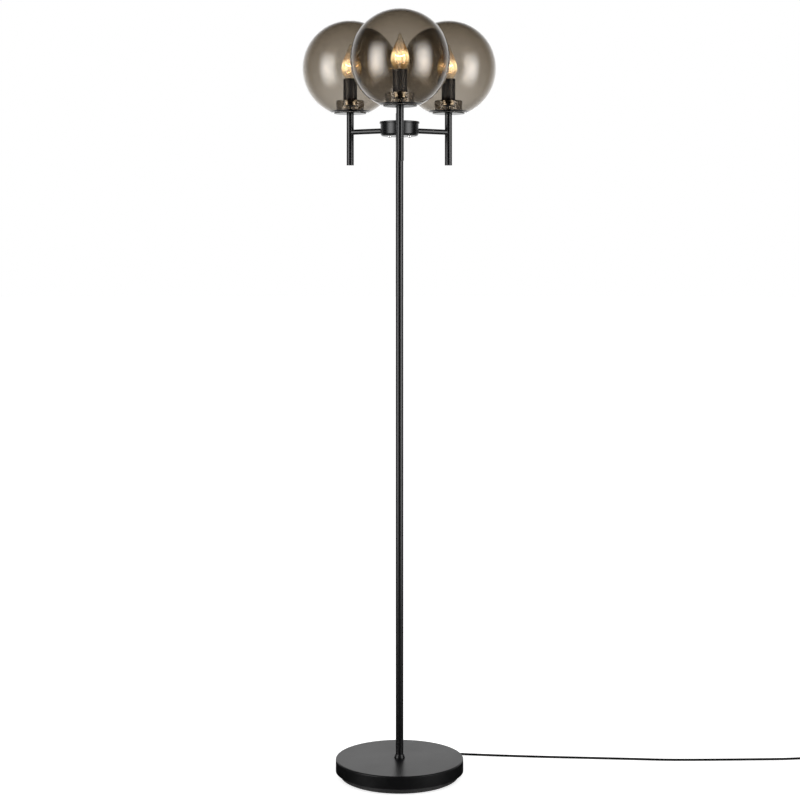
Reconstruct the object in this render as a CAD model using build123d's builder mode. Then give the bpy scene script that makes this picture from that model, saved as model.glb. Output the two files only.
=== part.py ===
"""Globe floor lamp: a round weighted foot, a pole in three sections, a hub with three arms, and three
smoked glass globes that stand on saucers round clear candle bulbs. The mains lead lies on the floor, with
a foot switch, a coil and a plug. Millimetres, +Z up, origin on the pole's axis at the floor, and the front
arm points along -Y."""

import os
from math import asin, atan2, cos, degrees, pi, radians, sin, sqrt, tan

from build123d import *

os.makedirs("parts", exist_ok=True)

# ---------------------------------------------------------------- driving dimensions
FIT = 0.05  # clearance of a pin, tube or stud in its hole, on the radius
LOOSE = 0.35  # clearance of what is lifted, turned or pressed, on the radius

# foot
PAD_D = 222.0
PAD_T = 2.0
TIER_D = 230.0  # the cast weight's lower step, which shows under the cover
TIER_H = 10.0
COVER_D = 250.0
COVER_H = 24.3
COVER_T = 1.5
COVER_EDGE_R = 2.5
COVER_GAP = 0.5
FLANGE_T = 12.0  # the weight's upper step, inside the cover
BOSS_D = 52.0
RECESS_D = 84.0
RECESS_H = 18.0
CHANNEL_W = 7.0
CHANNEL_ROOM = 1.0  # above the lead

# nut and studs of the pole
STUD_D = 10.0
STUD_BORE_D = 7.0
STUD_GRIP = 20.0  # length of a stud inside its tube
NUT_AF = 15.0
NUT_T = 5.0
WASHER_D = 30.0
WASHER_T = 2.0
STUD_TAIL = 0.5  # length of the foot stud below its nut

# pole
POLE_D = 15.0
POLE_WALL = 1.2
SECTIONS = ["lower", "middle", "upper"]
SECTION_L = 405.9
COUPLER_L = 40.0
COUPLER_BORE_D = 9.0
FERRULE_D = 21.4
FERRULE_TIP_D = 16.6
FERRULE_H = 7.5
FERRULE_BAND_H = 1.25
FINIAL_L = 19.0
FINIAL_ROUND_R = 4.5
FINIAL_GRIP = 12.0
FINIAL_END_GAP = 1.0

# hub
HUB_D = 75.0
HUB_H = 24.7
HUB_WALL = 3.0
HUB_CORNER_R = 6.0
LID_D = 78.5
LID_T = 4.0
LID_EDGE_R = 1.0
LID_SPIGOT_H = 2.0
LID_SPIGOT_T = 2.0
SCREW_SPACING = 39.0
SCREW_D = 4.0
SCREW_HEAD_D = 8.0
SCREW_HEAD_H = 2.5
SCREW_BITE = 2.5
BLOCK_W, BLOCK_L, BLOCK_H = 24.0, 13.0, 14.0
BLOCK_WAYS = 3
BLOCK_HOLE_D = 4.0
BLOCK_EDGE = 1.0
BLOCK_OFFSET = 13.5  # from the pole's axis to the block's near face
WIRE_EXIT_H = 11.0
WIRE_EXIT_W = 5.4

# arms and uprights
FRONT_AZIMUTH = 270.0
HEADS = {"front": FRONT_AZIMUTH, "right": FRONT_AZIMUTH - 240, "left": FRONT_AZIMUTH - 120}
HEAD_R = 113.0
ARM_D = 10.5
ARM_WALL = 1.0
ARM_RISE = 12.0  # the arms' axis above the hub's underside
ARM_TENON = 1.5  # length of an arm inside the hub's wall
UPRIGHT_D = 14.5
UPRIGHT_WALL = 1.2
UPRIGHT_DROP = 66.0  # from the arm's axis down to the plug's face
UPRIGHT_RISE = 36.9  # from the arm's axis up to the saucer
UPRIGHT_END_T = 8.0
PLUG_CAP_T = 2.0
PLUG_SPIGOT_L = 8.0

# saucer, seat ring, collar and lampholder
SAUCER_D = 64.0
SAUCER_T = 1.5
SEAT_T = 0.6
SEAT_D = 61.0
SEAT_BORE_D = 42.0
SEAT_LIP_H = 3.0
COLLAR_D = 34.0
COLLAR_H = 11.5
COLLAR_RISE = 12.6  # clear height between saucer and collar
COLLAR_CHAMFER = 1.2
HOLDER_D = 27.5
HOLDER_CAP_H = 12.0
HOLDER_SHELL_H = 32.2
HOLDER_WALL = 1.6
HOLDER_FLOOR_T = 2.5
HOLDER_SPIGOT_H = 3.0
HOLDER_EDGE_R = 1.0
SOCKET_D = 14.6
SOCKET_FLOOR_T = 2.0
SOCKET_DEPTH = 21.5  # from the bell's floor down to the socket's floor
SOCKET_WALL = 2.2
CONTACT_D = 4.0
CONTACT_DROP = 4.0
CONTACT_GAP = 0.3
CONTACT_RISE = 1.0  # above the socket's floor

# candle bulb
BULB_CAP_D = 13.9
BULB_CAP_H = 24.0
BULB_TIP_D = 8.0
BULB_TIP_H = 4.0
BULB_GLASS_D = 35.0
BULB_GLASS_H = 74.0  # above the cap
BULB_BELLY_H = 25.0  # the widest place above the cap
BULB_GLASS_T = 0.8
BULB_NECK_D = 12.4
BULB_NECK_GRIP = 5.0
BULB_END_R = 2.6
BULB_END_ANGLE = 74.0  # of the round end, from the axis
LAMP_STEM_D = 5.0
LAMP_STEM_H = 22.0
FILAMENT_RISE = 16.0  # above the top of the glass stem
FILAMENT_SPAN = 18.0
FILAMENT_SAG = 2.5
FILAMENT_D = 0.9
LEAD_WIRE_D = 0.8

# globe
GLOBE_D = 190.0
GLASS_T = 2.5
MOUTH_D = 71.5821  # where the sphere meets its flat rim
MOUTH_ROUND_R = 4.0
NECK_D = 54.0  # outside, at the rim
NECK_TOP_D = 57.0
NECK_WALL = 3.0
NECK_H = 24.0

# wires inside the lamp and the mains lead outside it
CORD_D = 4.4
WIRE_D = 3.0
WIRE_BEND_R = 6.0
CORD_AZIMUTH = 55.0  # where the lead leaves the foot
GROMMET_D = 9.0
GROMMET_GRIP = 8.0
GROMMET_LIFT = 0.1  # above the pad
RELIEF_L = 24.0
RELIEF_TIP_D = 5.4
LEAD_RUN = 15.0  # straight run of the lead beyond its relief
FLOOR_GAP = 0.2
HALF_TURNS_LOWER = 6
HALF_TURNS_UPPER = 6
COIL_OUTER_R = 31.5
COIL_GAP = 0.55
COIL_DROP_R = 140.0

# foot switch
SWITCH_X = 862.0
SWITCH_Y = 99.0
SWITCH_L, SWITCH_W = 62.0, 34.0
SWITCH_BASE_H = 9.0
SWITCH_COVER_H = 9.0
SWITCH_CORNER_R = 12.0
SWITCH_WALL = 2.0
SWITCH_EDGE_R = 3.0
CORD_ENTRY_Z = 4.4
BUTTON_D = 24.0
BUTTON_RISE = 5.0
BUTTON_TRAVEL = 2.5
BUTTON_SKIRT_H = 4.0
BUTTON_LIP_D = 27.0
BUTTON_LIP_T = 1.5

# mains plug
PLUG_L = 36.0
PLUG_W = 26.0
PLUG_TAIL_W = 11.0
PLUG_H = 14.2
PLUG_SHOULDER_L = 14.0
PLUG_EDGE_R = 2.0
PLUG_TAIL_L = 28.0
PLUG_TIP_D = 5.0
PLUG_TAIL_D = 7.6
PIN_D = 4.0
PIN_L = 19.0
PIN_SPACING = 19.0
PIN_ROOT = 4.0

# ---------------------------------------------------------------- heights and radii that follow
tier_z = PAD_T + TIER_H
base_z = tier_z + COVER_H
recess_z = PAD_T + RECESS_H
nut_z = recess_z - WASHER_T - NUT_T
pole_bore_r = POLE_D / 2 - POLE_WALL
stud_r = STUD_D / 2
hub_z = base_z + len(SECTIONS) * SECTION_L
lid_z = hub_z + HUB_H
finial_z = lid_z + LID_T
arm_z = hub_z + ARM_RISE
upright_low_z = arm_z - UPRIGHT_DROP
saucer_z = arm_z + UPRIGHT_RISE
seat_z = saucer_z + SAUCER_T
rim_z = seat_z + SEAT_T
collar_z = seat_z + COLLAR_RISE
holder_z = collar_z + COLLAR_H
shell_z = holder_z + HOLDER_CAP_H
holder_top_z = shell_z + HOLDER_SHELL_H
socket_z = shell_z + SOCKET_FLOOR_T
bell_z = socket_z + SOCKET_DEPTH
bulb_z = socket_z + CONTACT_RISE + CONTACT_GAP
bulb_cap_top_z = bulb_z + BULB_CAP_H
mouth_depth = sqrt((GLOBE_D / 2) ** 2 - (MOUTH_D / 2) ** 2)  # from the globe's centre to its rim
globe_z = rim_z + mouth_depth
grommet_z = PAD_T + GROMMET_LIFT + GROMMET_D / 2
cord_r = CORD_D / 2
lay_z = cord_r + FLOOR_GAP  # height of the cord's centre where it lies on the floor


# ---------------------------------------------------------------- planes, paths and writing
def head_place(azimuth):
    """x and y of the upright at the end of the arm that points to this azimuth."""
    return HEAD_R * cos(radians(azimuth)), HEAD_R * sin(radians(azimuth))


def upright_plane(x, y):
    """Vertical plane through a vertical axis: local x is the radius and local y the height."""
    return Plane(origin=(x, y, 0), x_dir=(1, 0, 0), z_dir=(0, -1, 0))


def radial_plane(azimuth, distance, height):
    """Plane square to a spoke from the pole's axis: local x runs sideways and local y up."""
    c, s = cos(radians(azimuth)), sin(radians(azimuth))
    return Plane(origin=(distance * c, distance * s, height), x_dir=(-s, c, 0), z_dir=(c, s, 0))


def vertical_axis(x, y):
    return Axis((x, y, 0), (0, 0, 1))


def corner_radii(points, share=0.45):
    """The largest tangent arc that each corner's two runs allow."""
    spots = [Vector(*p) for p in points]
    radii = []
    for a, b, c in zip(spots, spots[1:], spots[2:]):
        half_turn = radians((b - a).get_angle(c - b)) / 2
        radii.append(share * min((b - a).length, (c - b).length) / tan(half_turn))
    return radii


def finish(part, name):
    part.label = name
    export_step(part, f"parts/{name}.step")


# ---------------------------------------------------------------- foot
with BuildPart() as base_pad:
    Cylinder(PAD_D / 2, PAD_T, align=(Align.CENTER, Align.CENTER, Align.MIN))
finish(base_pad.part, "base_pad")

cover_inner_r = COVER_D / 2 - COVER_T
flange_r = cover_inner_r - COVER_GAP
cover_floor_z = base_z - COVER_T

with BuildPart() as base_weight:
    with BuildSketch(Plane.XZ):
        with BuildLine():
            Polyline(
                (stud_r + FIT, recess_z),
                (RECESS_D / 2, recess_z),
                (RECESS_D / 2, PAD_T),
                (TIER_D / 2, PAD_T),
                (TIER_D / 2, tier_z),
                (flange_r, tier_z),
                (flange_r, tier_z + FLANGE_T),
                (BOSS_D / 2, tier_z + FLANGE_T),
                (BOSS_D / 2, cover_floor_z),
                (stud_r + FIT, cover_floor_z),
                close=True,
            )
        make_face()
    revolve(axis=Axis.Z)
    # channel for the lead under the weight, and the wider notch that holds the grommet at the rim
    with BuildSketch(radial_plane(CORD_AZIMUTH, RECESS_D / 2 - CHANNEL_W / 2, 0)):
        with Locations((0, PAD_T)):
            Rectangle(CHANNEL_W, grommet_z + cord_r + CHANNEL_ROOM - PAD_T, align=(Align.CENTER, Align.MIN))
    extrude(amount=TIER_D / 2 - RECESS_D / 2 + CHANNEL_W, mode=Mode.SUBTRACT)
    with BuildSketch(radial_plane(CORD_AZIMUTH, TIER_D / 2 - GROMMET_GRIP, 0)):
        with Locations((0, grommet_z)):
            Circle(GROMMET_D / 2 + FIT)
        with Locations((0, PAD_T)):
            Rectangle(GROMMET_D + 2 * FIT, grommet_z - PAD_T, align=(Align.CENTER, Align.MIN))
    extrude(amount=2 * GROMMET_GRIP, mode=Mode.SUBTRACT)
finish(base_weight.part, "base_weight")

with BuildPart() as base_cover:
    with BuildSketch(Plane.XZ) as cover_section:
        with BuildLine():
            Polyline(
                (stud_r + FIT, base_z),
                (COVER_D / 2, base_z),
                (COVER_D / 2, tier_z),
                (cover_inner_r, tier_z),
                (cover_inner_r, cover_floor_z),
                (stud_r + FIT, cover_floor_z),
                close=True,
            )
        make_face()
        fillet(cover_section.vertices().group_by(Axis.X)[-1].sort_by(Axis.Y)[-1], COVER_EDGE_R)
        inner_corners = cover_section.vertices().filter_by(lambda v: abs(v.X - cover_inner_r) < 1e-6)
        fillet(inner_corners.sort_by(Axis.Y)[-1], COVER_EDGE_R - COVER_T)
    revolve(axis=Axis.Z)
finish(base_cover.part, "base_cover")

with BuildPart() as base_nut:
    with BuildSketch(Plane.XY.offset(recess_z)):
        Circle(WASHER_D / 2)
    extrude(amount=-WASHER_T)
    with BuildSketch(Plane.XY.offset(recess_z - WASHER_T)):
        RegularPolygon(NUT_AF / 2, 6, major_radius=False)
    extrude(amount=-NUT_T)
    with BuildSketch(Plane.XY.offset(nut_z)):
        Circle(stud_r + FIT)
    extrude(amount=NUT_T + WASHER_T, mode=Mode.SUBTRACT)
finish(base_nut.part, "base_nut")

with BuildPart() as foot_stud:
    with BuildSketch(Plane.XZ):
        with BuildLine():
            Polyline(
                (STUD_BORE_D / 2, nut_z - STUD_TAIL),
                (stud_r, nut_z - STUD_TAIL),
                (stud_r, base_z),
                (pole_bore_r - FIT, base_z),
                (pole_bore_r - FIT, base_z + STUD_GRIP),
                (STUD_BORE_D / 2, base_z + STUD_GRIP),
                close=True,
            )
        make_face()
    revolve(axis=Axis.Z)
finish(foot_stud.part, "foot_stud")

with BuildPart() as cord_grommet:
    with BuildSketch(radial_plane(CORD_AZIMUTH, TIER_D / 2 - GROMMET_GRIP, grommet_z)):
        Circle(GROMMET_D / 2)
    extrude(amount=GROMMET_GRIP)
    with BuildSketch(radial_plane(CORD_AZIMUTH, TIER_D / 2, grommet_z)):
        Circle(GROMMET_D / 2)
    with BuildSketch(radial_plane(CORD_AZIMUTH, TIER_D / 2 + RELIEF_L, grommet_z)):
        Circle(RELIEF_TIP_D / 2)
    loft()
finish(cord_grommet.part, "cord_grommet")

# ---------------------------------------------------------------- pole
for number, section in enumerate(SECTIONS):
    with BuildPart() as pole_section:
        with BuildSketch(Plane.XY.offset(base_z + number * SECTION_L)):
            Circle(POLE_D / 2)
            Circle(pole_bore_r, mode=Mode.SUBTRACT)
        extrude(amount=SECTION_L)
    finish(pole_section.part, f"pole_{section}")

with BuildPart() as pole_couplers:
    for number in range(1, len(SECTIONS)):
        with BuildSketch(Plane.XY.offset(base_z + number * SECTION_L - COUPLER_L / 2)):
            Circle(pole_bore_r - FIT)
            Circle(COUPLER_BORE_D / 2, mode=Mode.SUBTRACT)
        extrude(amount=COUPLER_L)
finish(pole_couplers.part, "pole_couplers")

with BuildPart() as pole_ferrule:
    with BuildSketch(Plane.XZ):
        with BuildLine():
            Polyline(
                (POLE_D / 2 + FIT, base_z),
                (FERRULE_D / 2, base_z),
                (FERRULE_D / 2, base_z + FERRULE_BAND_H),
                (FERRULE_TIP_D / 2, base_z + FERRULE_H),
                (POLE_D / 2 + FIT, base_z + FERRULE_H),
                close=True,
            )
        make_face()
    revolve(axis=Axis.Z)
finish(pole_ferrule.part, "pole_ferrule")

# ---------------------------------------------------------------- hub
hub_bore_r = HUB_D / 2 - HUB_WALL

with BuildPart() as hub_body:
    with BuildSketch(Plane.XZ) as hub_section:
        with BuildLine():
            Polyline(
                (stud_r + FIT, hub_z),
                (HUB_D / 2, hub_z),
                (HUB_D / 2, lid_z),
                (hub_bore_r, lid_z),
                (hub_bore_r, hub_z + HUB_WALL),
                (stud_r + FIT, hub_z + HUB_WALL),
                close=True,
            )
        make_face()
        fillet(hub_section.vertices().group_by(Axis.X)[-1].sort_by(Axis.Y)[0], HUB_CORNER_R)
        inner_corners = hub_section.vertices().filter_by(lambda v: abs(v.X - hub_bore_r) < 1e-6)
        fillet(inner_corners.sort_by(Axis.Y)[0], HUB_CORNER_R - HUB_WALL)
    revolve(axis=Axis.Z)
    for azimuth in HEADS.values():
        with BuildSketch(radial_plane(azimuth, hub_bore_r - HUB_WALL, arm_z)):
            Circle(ARM_D / 2 + FIT)
        extrude(amount=3 * HUB_WALL, mode=Mode.SUBTRACT)
    with BuildSketch(Plane.XY.offset(hub_z)):
        with GridLocations(SCREW_SPACING, 0, 2, 1):
            Circle(SCREW_D / 2 + FIT)
    extrude(amount=HUB_WALL, mode=Mode.SUBTRACT)
finish(hub_body.part, "hub_body")

spigot_r = hub_bore_r - LOOSE
with BuildPart() as hub_lid:
    with BuildSketch(Plane.XY.offset(lid_z)):
        Circle(LID_D / 2)
    extrude(amount=LID_T)
    fillet(hub_lid.edges().filter_by(GeomType.CIRCLE), LID_EDGE_R)
    with BuildSketch(Plane.XY.offset(lid_z)):
        Circle(spigot_r)
        Circle(spigot_r - LID_SPIGOT_T, mode=Mode.SUBTRACT)
    extrude(amount=-LID_SPIGOT_H)
    with BuildSketch(Plane.XY.offset(lid_z)):
        Circle(stud_r + FIT)
    extrude(amount=LID_T, mode=Mode.SUBTRACT)
    with BuildSketch(Plane.XY.offset(lid_z)):
        with GridLocations(SCREW_SPACING, 0, 2, 1):
            Circle(SCREW_D / 2 + FIT)
    extrude(amount=SCREW_BITE, mode=Mode.SUBTRACT)
finish(hub_lid.part, "hub_lid")

with BuildPart() as hub_screws:
    with BuildSketch(Plane.XY.offset(hub_z)):
        with GridLocations(SCREW_SPACING, 0, 2, 1):
            Circle(SCREW_HEAD_D / 2)
    extrude(amount=-SCREW_HEAD_H)
    fillet(hub_screws.edges().group_by(Axis.Z)[0], SCREW_HEAD_H / 2)
    with BuildSketch(Plane.XY.offset(hub_z)):
        with GridLocations(SCREW_SPACING, 0, 2, 1):
            Circle(SCREW_D / 2)
    extrude(amount=HUB_H + SCREW_BITE)
finish(hub_screws.part, "hub_screws")

with BuildPart() as hub_stud:
    with BuildSketch(Plane.XZ):
        with BuildLine():
            Polyline(
                (STUD_BORE_D / 2, hub_z - STUD_GRIP),
                (pole_bore_r - FIT, hub_z - STUD_GRIP),
                (pole_bore_r - FIT, hub_z),
                (stud_r, hub_z),
                (stud_r, finial_z + FINIAL_GRIP - FINIAL_END_GAP),
                (STUD_BORE_D / 2, finial_z + FINIAL_GRIP - FINIAL_END_GAP),
                close=True,
            )
        make_face()
    revolve(axis=Axis.Z)
    # slot in the back, where the lead leaves for the terminal block
    with BuildSketch(radial_plane(90, 0, arm_z)):
        Rectangle(WIRE_EXIT_W, WIRE_EXIT_H)
    extrude(amount=STUD_D, mode=Mode.SUBTRACT)
finish(hub_stud.part, "hub_stud")

with BuildPart() as pole_finial:
    with BuildSketch(Plane.XY.offset(finial_z)):
        Circle(POLE_D / 2)
    extrude(amount=FINIAL_L)
    fillet(pole_finial.edges().group_by(Axis.Z)[-1], FINIAL_ROUND_R)
    with BuildSketch(Plane.XY.offset(finial_z)):
        Circle(stud_r + FIT)
    extrude(amount=FINIAL_GRIP, mode=Mode.SUBTRACT)
finish(pole_finial.part, "pole_finial")

block_z = hub_z + HUB_WALL
with BuildPart() as terminal_block:
    with BuildSketch(Plane.XY.offset(block_z)):
        with Locations((0, BLOCK_OFFSET)):
            Rectangle(BLOCK_W, BLOCK_L, align=(Align.CENTER, Align.MIN))
    extrude(amount=BLOCK_H)
    chamfer(terminal_block.edges().group_by(Axis.Z)[-1], BLOCK_EDGE)
    with BuildSketch(Plane.XY.offset(block_z + BLOCK_H)):
        with Locations((0, BLOCK_OFFSET + BLOCK_L / 2)):
            with GridLocations(BLOCK_W / BLOCK_WAYS, BLOCK_L / 2, BLOCK_WAYS, 2):
                Circle(BLOCK_HOLE_D / 2)
    extrude(amount=-BLOCK_H / 2, mode=Mode.SUBTRACT)
finish(terminal_block.part, "terminal_block")

# ---------------------------------------------------------------- arms and uprights
upright_tube_z = upright_low_z + PLUG_CAP_T
upright_bore_r = UPRIGHT_D / 2 - UPRIGHT_WALL

for head, azimuth in HEADS.items():
    x, y = head_place(azimuth)
    arm_start = HUB_D / 2 - HUB_WALL - ARM_TENON
    with BuildPart() as arm:
        with BuildSketch(radial_plane(azimuth, arm_start, arm_z)):
            Circle(ARM_D / 2)
            Circle(ARM_D / 2 - ARM_WALL, mode=Mode.SUBTRACT)
        extrude(amount=HEAD_R - arm_start)
        # the far end is coped to the upright
        with BuildSketch(Plane((x, y, arm_z - ARM_D))):
            Circle(UPRIGHT_D / 2)
        extrude(amount=2 * ARM_D, mode=Mode.SUBTRACT)
    finish(arm.part, f"arm_{head}")

    with BuildPart() as upright:
        with BuildSketch(Plane((x, y, upright_tube_z))):
            Circle(UPRIGHT_D / 2)
        extrude(amount=saucer_z - upright_tube_z)
        with BuildSketch(Plane((x, y, upright_tube_z))):
            Circle(upright_bore_r)
        extrude(amount=saucer_z - UPRIGHT_END_T - upright_tube_z, mode=Mode.SUBTRACT)
        with BuildSketch(Plane((x, y, saucer_z))):
            Circle(stud_r + FIT)
        extrude(amount=-UPRIGHT_END_T, mode=Mode.SUBTRACT)
        with BuildSketch(radial_plane(azimuth, HEAD_R - UPRIGHT_D, arm_z)):
            Circle(ARM_D / 2 - ARM_WALL)
        extrude(amount=UPRIGHT_D, mode=Mode.SUBTRACT)
    finish(upright.part, f"upright_{head}")

with BuildPart() as upright_plugs:
    for azimuth in HEADS.values():
        x, y = head_place(azimuth)
        with BuildSketch(Plane((x, y, upright_low_z))):
            Circle(UPRIGHT_D / 2)
        extrude(amount=PLUG_CAP_T)
        with BuildSketch(Plane((x, y, upright_tube_z))):
            Circle(upright_bore_r - FIT)
        extrude(amount=PLUG_SPIGOT_L)
finish(upright_plugs.part, "upright_plugs")

# ---------------------------------------------------------------- what carries the glass and the bulb
stem_top_z = holder_z + HOLDER_FLOOR_T
neck_bore_r = NECK_D / 2 - NECK_WALL

with BuildPart() as lamp_stems:
    for azimuth in HEADS.values():
        x, y = head_place(azimuth)
        with BuildSketch(Plane((x, y, saucer_z - UPRIGHT_END_T))):
            Circle(stud_r)
            Circle(STUD_BORE_D / 2, mode=Mode.SUBTRACT)
        extrude(amount=stem_top_z - saucer_z + UPRIGHT_END_T)
finish(lamp_stems.part, "lamp_stems")

with BuildPart() as seat_rings:
    for azimuth in HEADS.values():
        x, y = head_place(azimuth)
        with BuildSketch(upright_plane(x, y)):
            with BuildLine():
                Polyline(
                    (SEAT_BORE_D / 2, seat_z),
                    (SEAT_D / 2, seat_z),
                    (SEAT_D / 2, rim_z),
                    (neck_bore_r - LOOSE, rim_z),
                    (neck_bore_r - LOOSE, rim_z + SEAT_LIP_H),
                    (SEAT_BORE_D / 2, rim_z + SEAT_LIP_H),
                    close=True,
                )
            make_face()
        revolve(axis=vertical_axis(x, y))
finish(seat_rings.part, "seat_rings")

with BuildPart() as holder_contacts:
    for azimuth in HEADS.values():
        x, y = head_place(azimuth)
        with BuildSketch(Plane((x, y, shell_z - CONTACT_DROP))):
            Circle(CONTACT_D / 2)
        extrude(amount=socket_z + CONTACT_RISE - shell_z + CONTACT_DROP)
finish(holder_contacts.part, "holder_contacts")

for head, azimuth in HEADS.items():
    x, y = head_place(azimuth)
    section, axis = upright_plane(x, y), vertical_axis(x, y)

    with BuildPart() as saucer:
        with BuildSketch(Plane((x, y, saucer_z))):
            Circle(SAUCER_D / 2)
        extrude(amount=SAUCER_T)
        fillet(saucer.edges().filter_by(GeomType.CIRCLE), SAUCER_T * 0.4)
        with BuildSketch(Plane((x, y, saucer_z))):
            Circle(stud_r + FIT)
        extrude(amount=SAUCER_T, mode=Mode.SUBTRACT)
    finish(saucer.part, f"saucer_{head}")

    with BuildPart() as collar:
        with BuildSketch(Plane((x, y, collar_z))):
            Circle(COLLAR_D / 2)
        extrude(amount=COLLAR_H)
        chamfer(collar.edges().filter_by(GeomType.CIRCLE), COLLAR_CHAMFER)
        with BuildSketch(Plane((x, y, collar_z))):
            Circle(stud_r + FIT)
        extrude(amount=COLLAR_H, mode=Mode.SUBTRACT)
    finish(collar.part, f"collar_{head}")

    with BuildPart() as holder_cap:
        with BuildSketch(section):
            with BuildLine():
                Polyline(
                    (stud_r + FIT, holder_z),
                    (HOLDER_D / 2, holder_z),
                    (HOLDER_D / 2, shell_z),
                    (HOLDER_D / 2 - HOLDER_WALL, shell_z),
                    (HOLDER_D / 2 - HOLDER_WALL, holder_z + HOLDER_FLOOR_T),
                    (stud_r + FIT, holder_z + HOLDER_FLOOR_T),
                    close=True,
                )
            make_face()
        revolve(axis=axis)
        holder_rims = holder_cap.edges().filter_by(GeomType.CIRCLE).group_by(Axis.Z)[0]
        fillet(holder_rims.sort_by(SortBy.RADIUS)[-1], HOLDER_EDGE_R)
    finish(holder_cap.part, f"holder_cap_{head}")

    with BuildPart() as holder_shell:
        with BuildSketch(section):
            with BuildLine():
                Polyline(
                    (CONTACT_D / 2 + FIT, shell_z - HOLDER_SPIGOT_H),
                    (HOLDER_D / 2 - HOLDER_WALL - FIT, shell_z - HOLDER_SPIGOT_H),
                    (HOLDER_D / 2 - HOLDER_WALL - FIT, shell_z),
                    (HOLDER_D / 2, shell_z),
                    (HOLDER_D / 2, holder_top_z),
                    (HOLDER_D / 2 - HOLDER_WALL, holder_top_z),
                    (HOLDER_D / 2 - HOLDER_WALL, bell_z + SOCKET_WALL),
                    (SOCKET_D / 2 + SOCKET_WALL, bell_z),
                    (SOCKET_D / 2, bell_z),
                    (SOCKET_D / 2, socket_z),
                    (CONTACT_D / 2 + FIT, socket_z),
                    close=True,
                )
            make_face()
        revolve(axis=axis)
    finish(holder_shell.part, f"holder_shell_{head}")

# ---------------------------------------------------------------- candle bulbs
neck_z = bulb_cap_top_z - BULB_NECK_GRIP
belly_z = bulb_cap_top_z + BULB_BELLY_H
glass_top_z = bulb_cap_top_z + BULB_GLASS_H


def candle_outline(inset):
    """Half outline of the candle glass, drawn this far inside its surface; gives its two ends."""
    end_r = BULB_END_R - inset / 2
    top = glass_top_z - inset
    end = CenterArc((0, top - end_r), end_r, 90 - BULB_END_ANGLE, BULB_END_ANGLE)
    taper = Spline((BULB_GLASS_D / 2 - inset, belly_z), end @ 0, tangents=[(0, 1), end % 0])
    flare = Spline((BULB_NECK_D / 2 - inset, bulb_cap_top_z), taper @ 0, tangents=[(0.35, 1), (0, 1)])
    return flare @ 0, end @ 1


for head, azimuth in HEADS.items():
    x, y = head_place(azimuth)
    section, axis = upright_plane(x, y), vertical_axis(x, y)

    with BuildPart() as bulb_cap:
        with BuildSketch(section):
            with BuildLine():
                Polyline(
                    (0, bulb_z),
                    (BULB_TIP_D / 2, bulb_z),
                    (BULB_CAP_D / 2, bulb_z + BULB_TIP_H),
                    (BULB_CAP_D / 2, bulb_cap_top_z),
                    (BULB_NECK_D / 2 + FIT, bulb_cap_top_z),
                    (BULB_NECK_D / 2 + FIT, neck_z),
                    (0, neck_z),
                    close=True,
                )
            make_face()
        revolve(axis=axis)
    finish(bulb_cap.part, f"bulb_cap_{head}")

    with BuildPart() as bulb_glass:
        with BuildSketch(section):
            with BuildLine():
                outside_start, outside_end = candle_outline(0)
                inside_start, inside_end = candle_outline(BULB_GLASS_T)
                Line(outside_end, inside_end)
                Polyline(outside_start, (outside_start.X, neck_z), (inside_start.X, neck_z), inside_start)
            make_face()
        revolve(axis=axis)
    finish(bulb_glass.part, f"bulb_glass_{head}")

    # glass stem, two lead wires and the filament that hangs between them
    stem_head_z = neck_z + LAMP_STEM_H
    filament_z = stem_head_z + FILAMENT_RISE
    with BuildPart() as bulb_filament:
        with BuildSketch(Plane((x, y, neck_z))):
            Circle(LAMP_STEM_D / 2)
        extrude(amount=LAMP_STEM_H)
        for side in (-1, 1):
            foot = Vector(x + side * LAMP_STEM_D / 4, y, stem_head_z - 1)
            tip = Vector(x + side * FILAMENT_SPAN / 2, y, filament_z + LEAD_WIRE_D)
            with BuildSketch(Plane(origin=foot, z_dir=tip - foot)):
                Circle(LEAD_WIRE_D / 2)
            extrude(amount=(tip - foot).length)
        with BuildLine() as filament_line:
            ThreePointArc(
                (x - FILAMENT_SPAN / 2, y, filament_z),
                (x, y, filament_z - FILAMENT_SAG),
                (x + FILAMENT_SPAN / 2, y, filament_z),
            )
        filament_path = filament_line.wire()
        with BuildSketch(Plane(origin=filament_path @ 0, z_dir=filament_path % 0)):
            Circle(FILAMENT_D / 2)
        sweep(path=filament_path)
    finish(bulb_filament.part, f"bulb_filament_{head}")

# ---------------------------------------------------------------- globes
globe_r = GLOBE_D / 2
globe_bore_r = globe_r - GLASS_T
mouth_r = MOUTH_D / 2
mouth_angle = degrees(atan2(-mouth_depth, mouth_r))
floor_depth = mouth_depth - GLASS_T  # inside face of the glass beside the neck
floor_r = sqrt(globe_bore_r**2 - floor_depth**2)
floor_angle = degrees(atan2(-floor_depth, floor_r))
neck_top_z = rim_z + NECK_H
neck_lean = (NECK_TOP_D - NECK_D) / 2 / NECK_H
neck_root_r = NECK_D / 2 + neck_lean * GLASS_T

for head, azimuth in HEADS.items():
    x, y = head_place(azimuth)
    with BuildPart() as globe:
        with BuildSketch(upright_plane(x, y)) as globe_section:
            with BuildLine():
                # sphere down to the mouth, flat rim, neck turned back up inside, then the inner sphere
                outside = CenterArc((0, globe_z), globe_r, 90, mouth_angle - 90)
                inside = CenterArc((0, globe_z), globe_bore_r, 90, floor_angle - 90)
                Polyline(
                    outside @ 1,
                    (neck_bore_r, rim_z),
                    (NECK_TOP_D / 2 - NECK_WALL, neck_top_z),
                    (NECK_TOP_D / 2, neck_top_z),
                    (neck_root_r, globe_z - floor_depth),
                    inside @ 1,
                )
                Line(outside @ 0, inside @ 0)
            make_face()
            neck_tip = globe_section.vertices().filter_by(lambda v: abs(v.Y - neck_top_z) < 1e-6)
            fillet(neck_tip, NECK_WALL * 0.45)
            rim_corner = globe_section.vertices().sort_by_distance((mouth_r, rim_z))[0]
            fillet(rim_corner, MOUTH_ROUND_R)
        revolve(axis=vertical_axis(x, y))
    finish(globe.part, f"globe_{head}")

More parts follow.
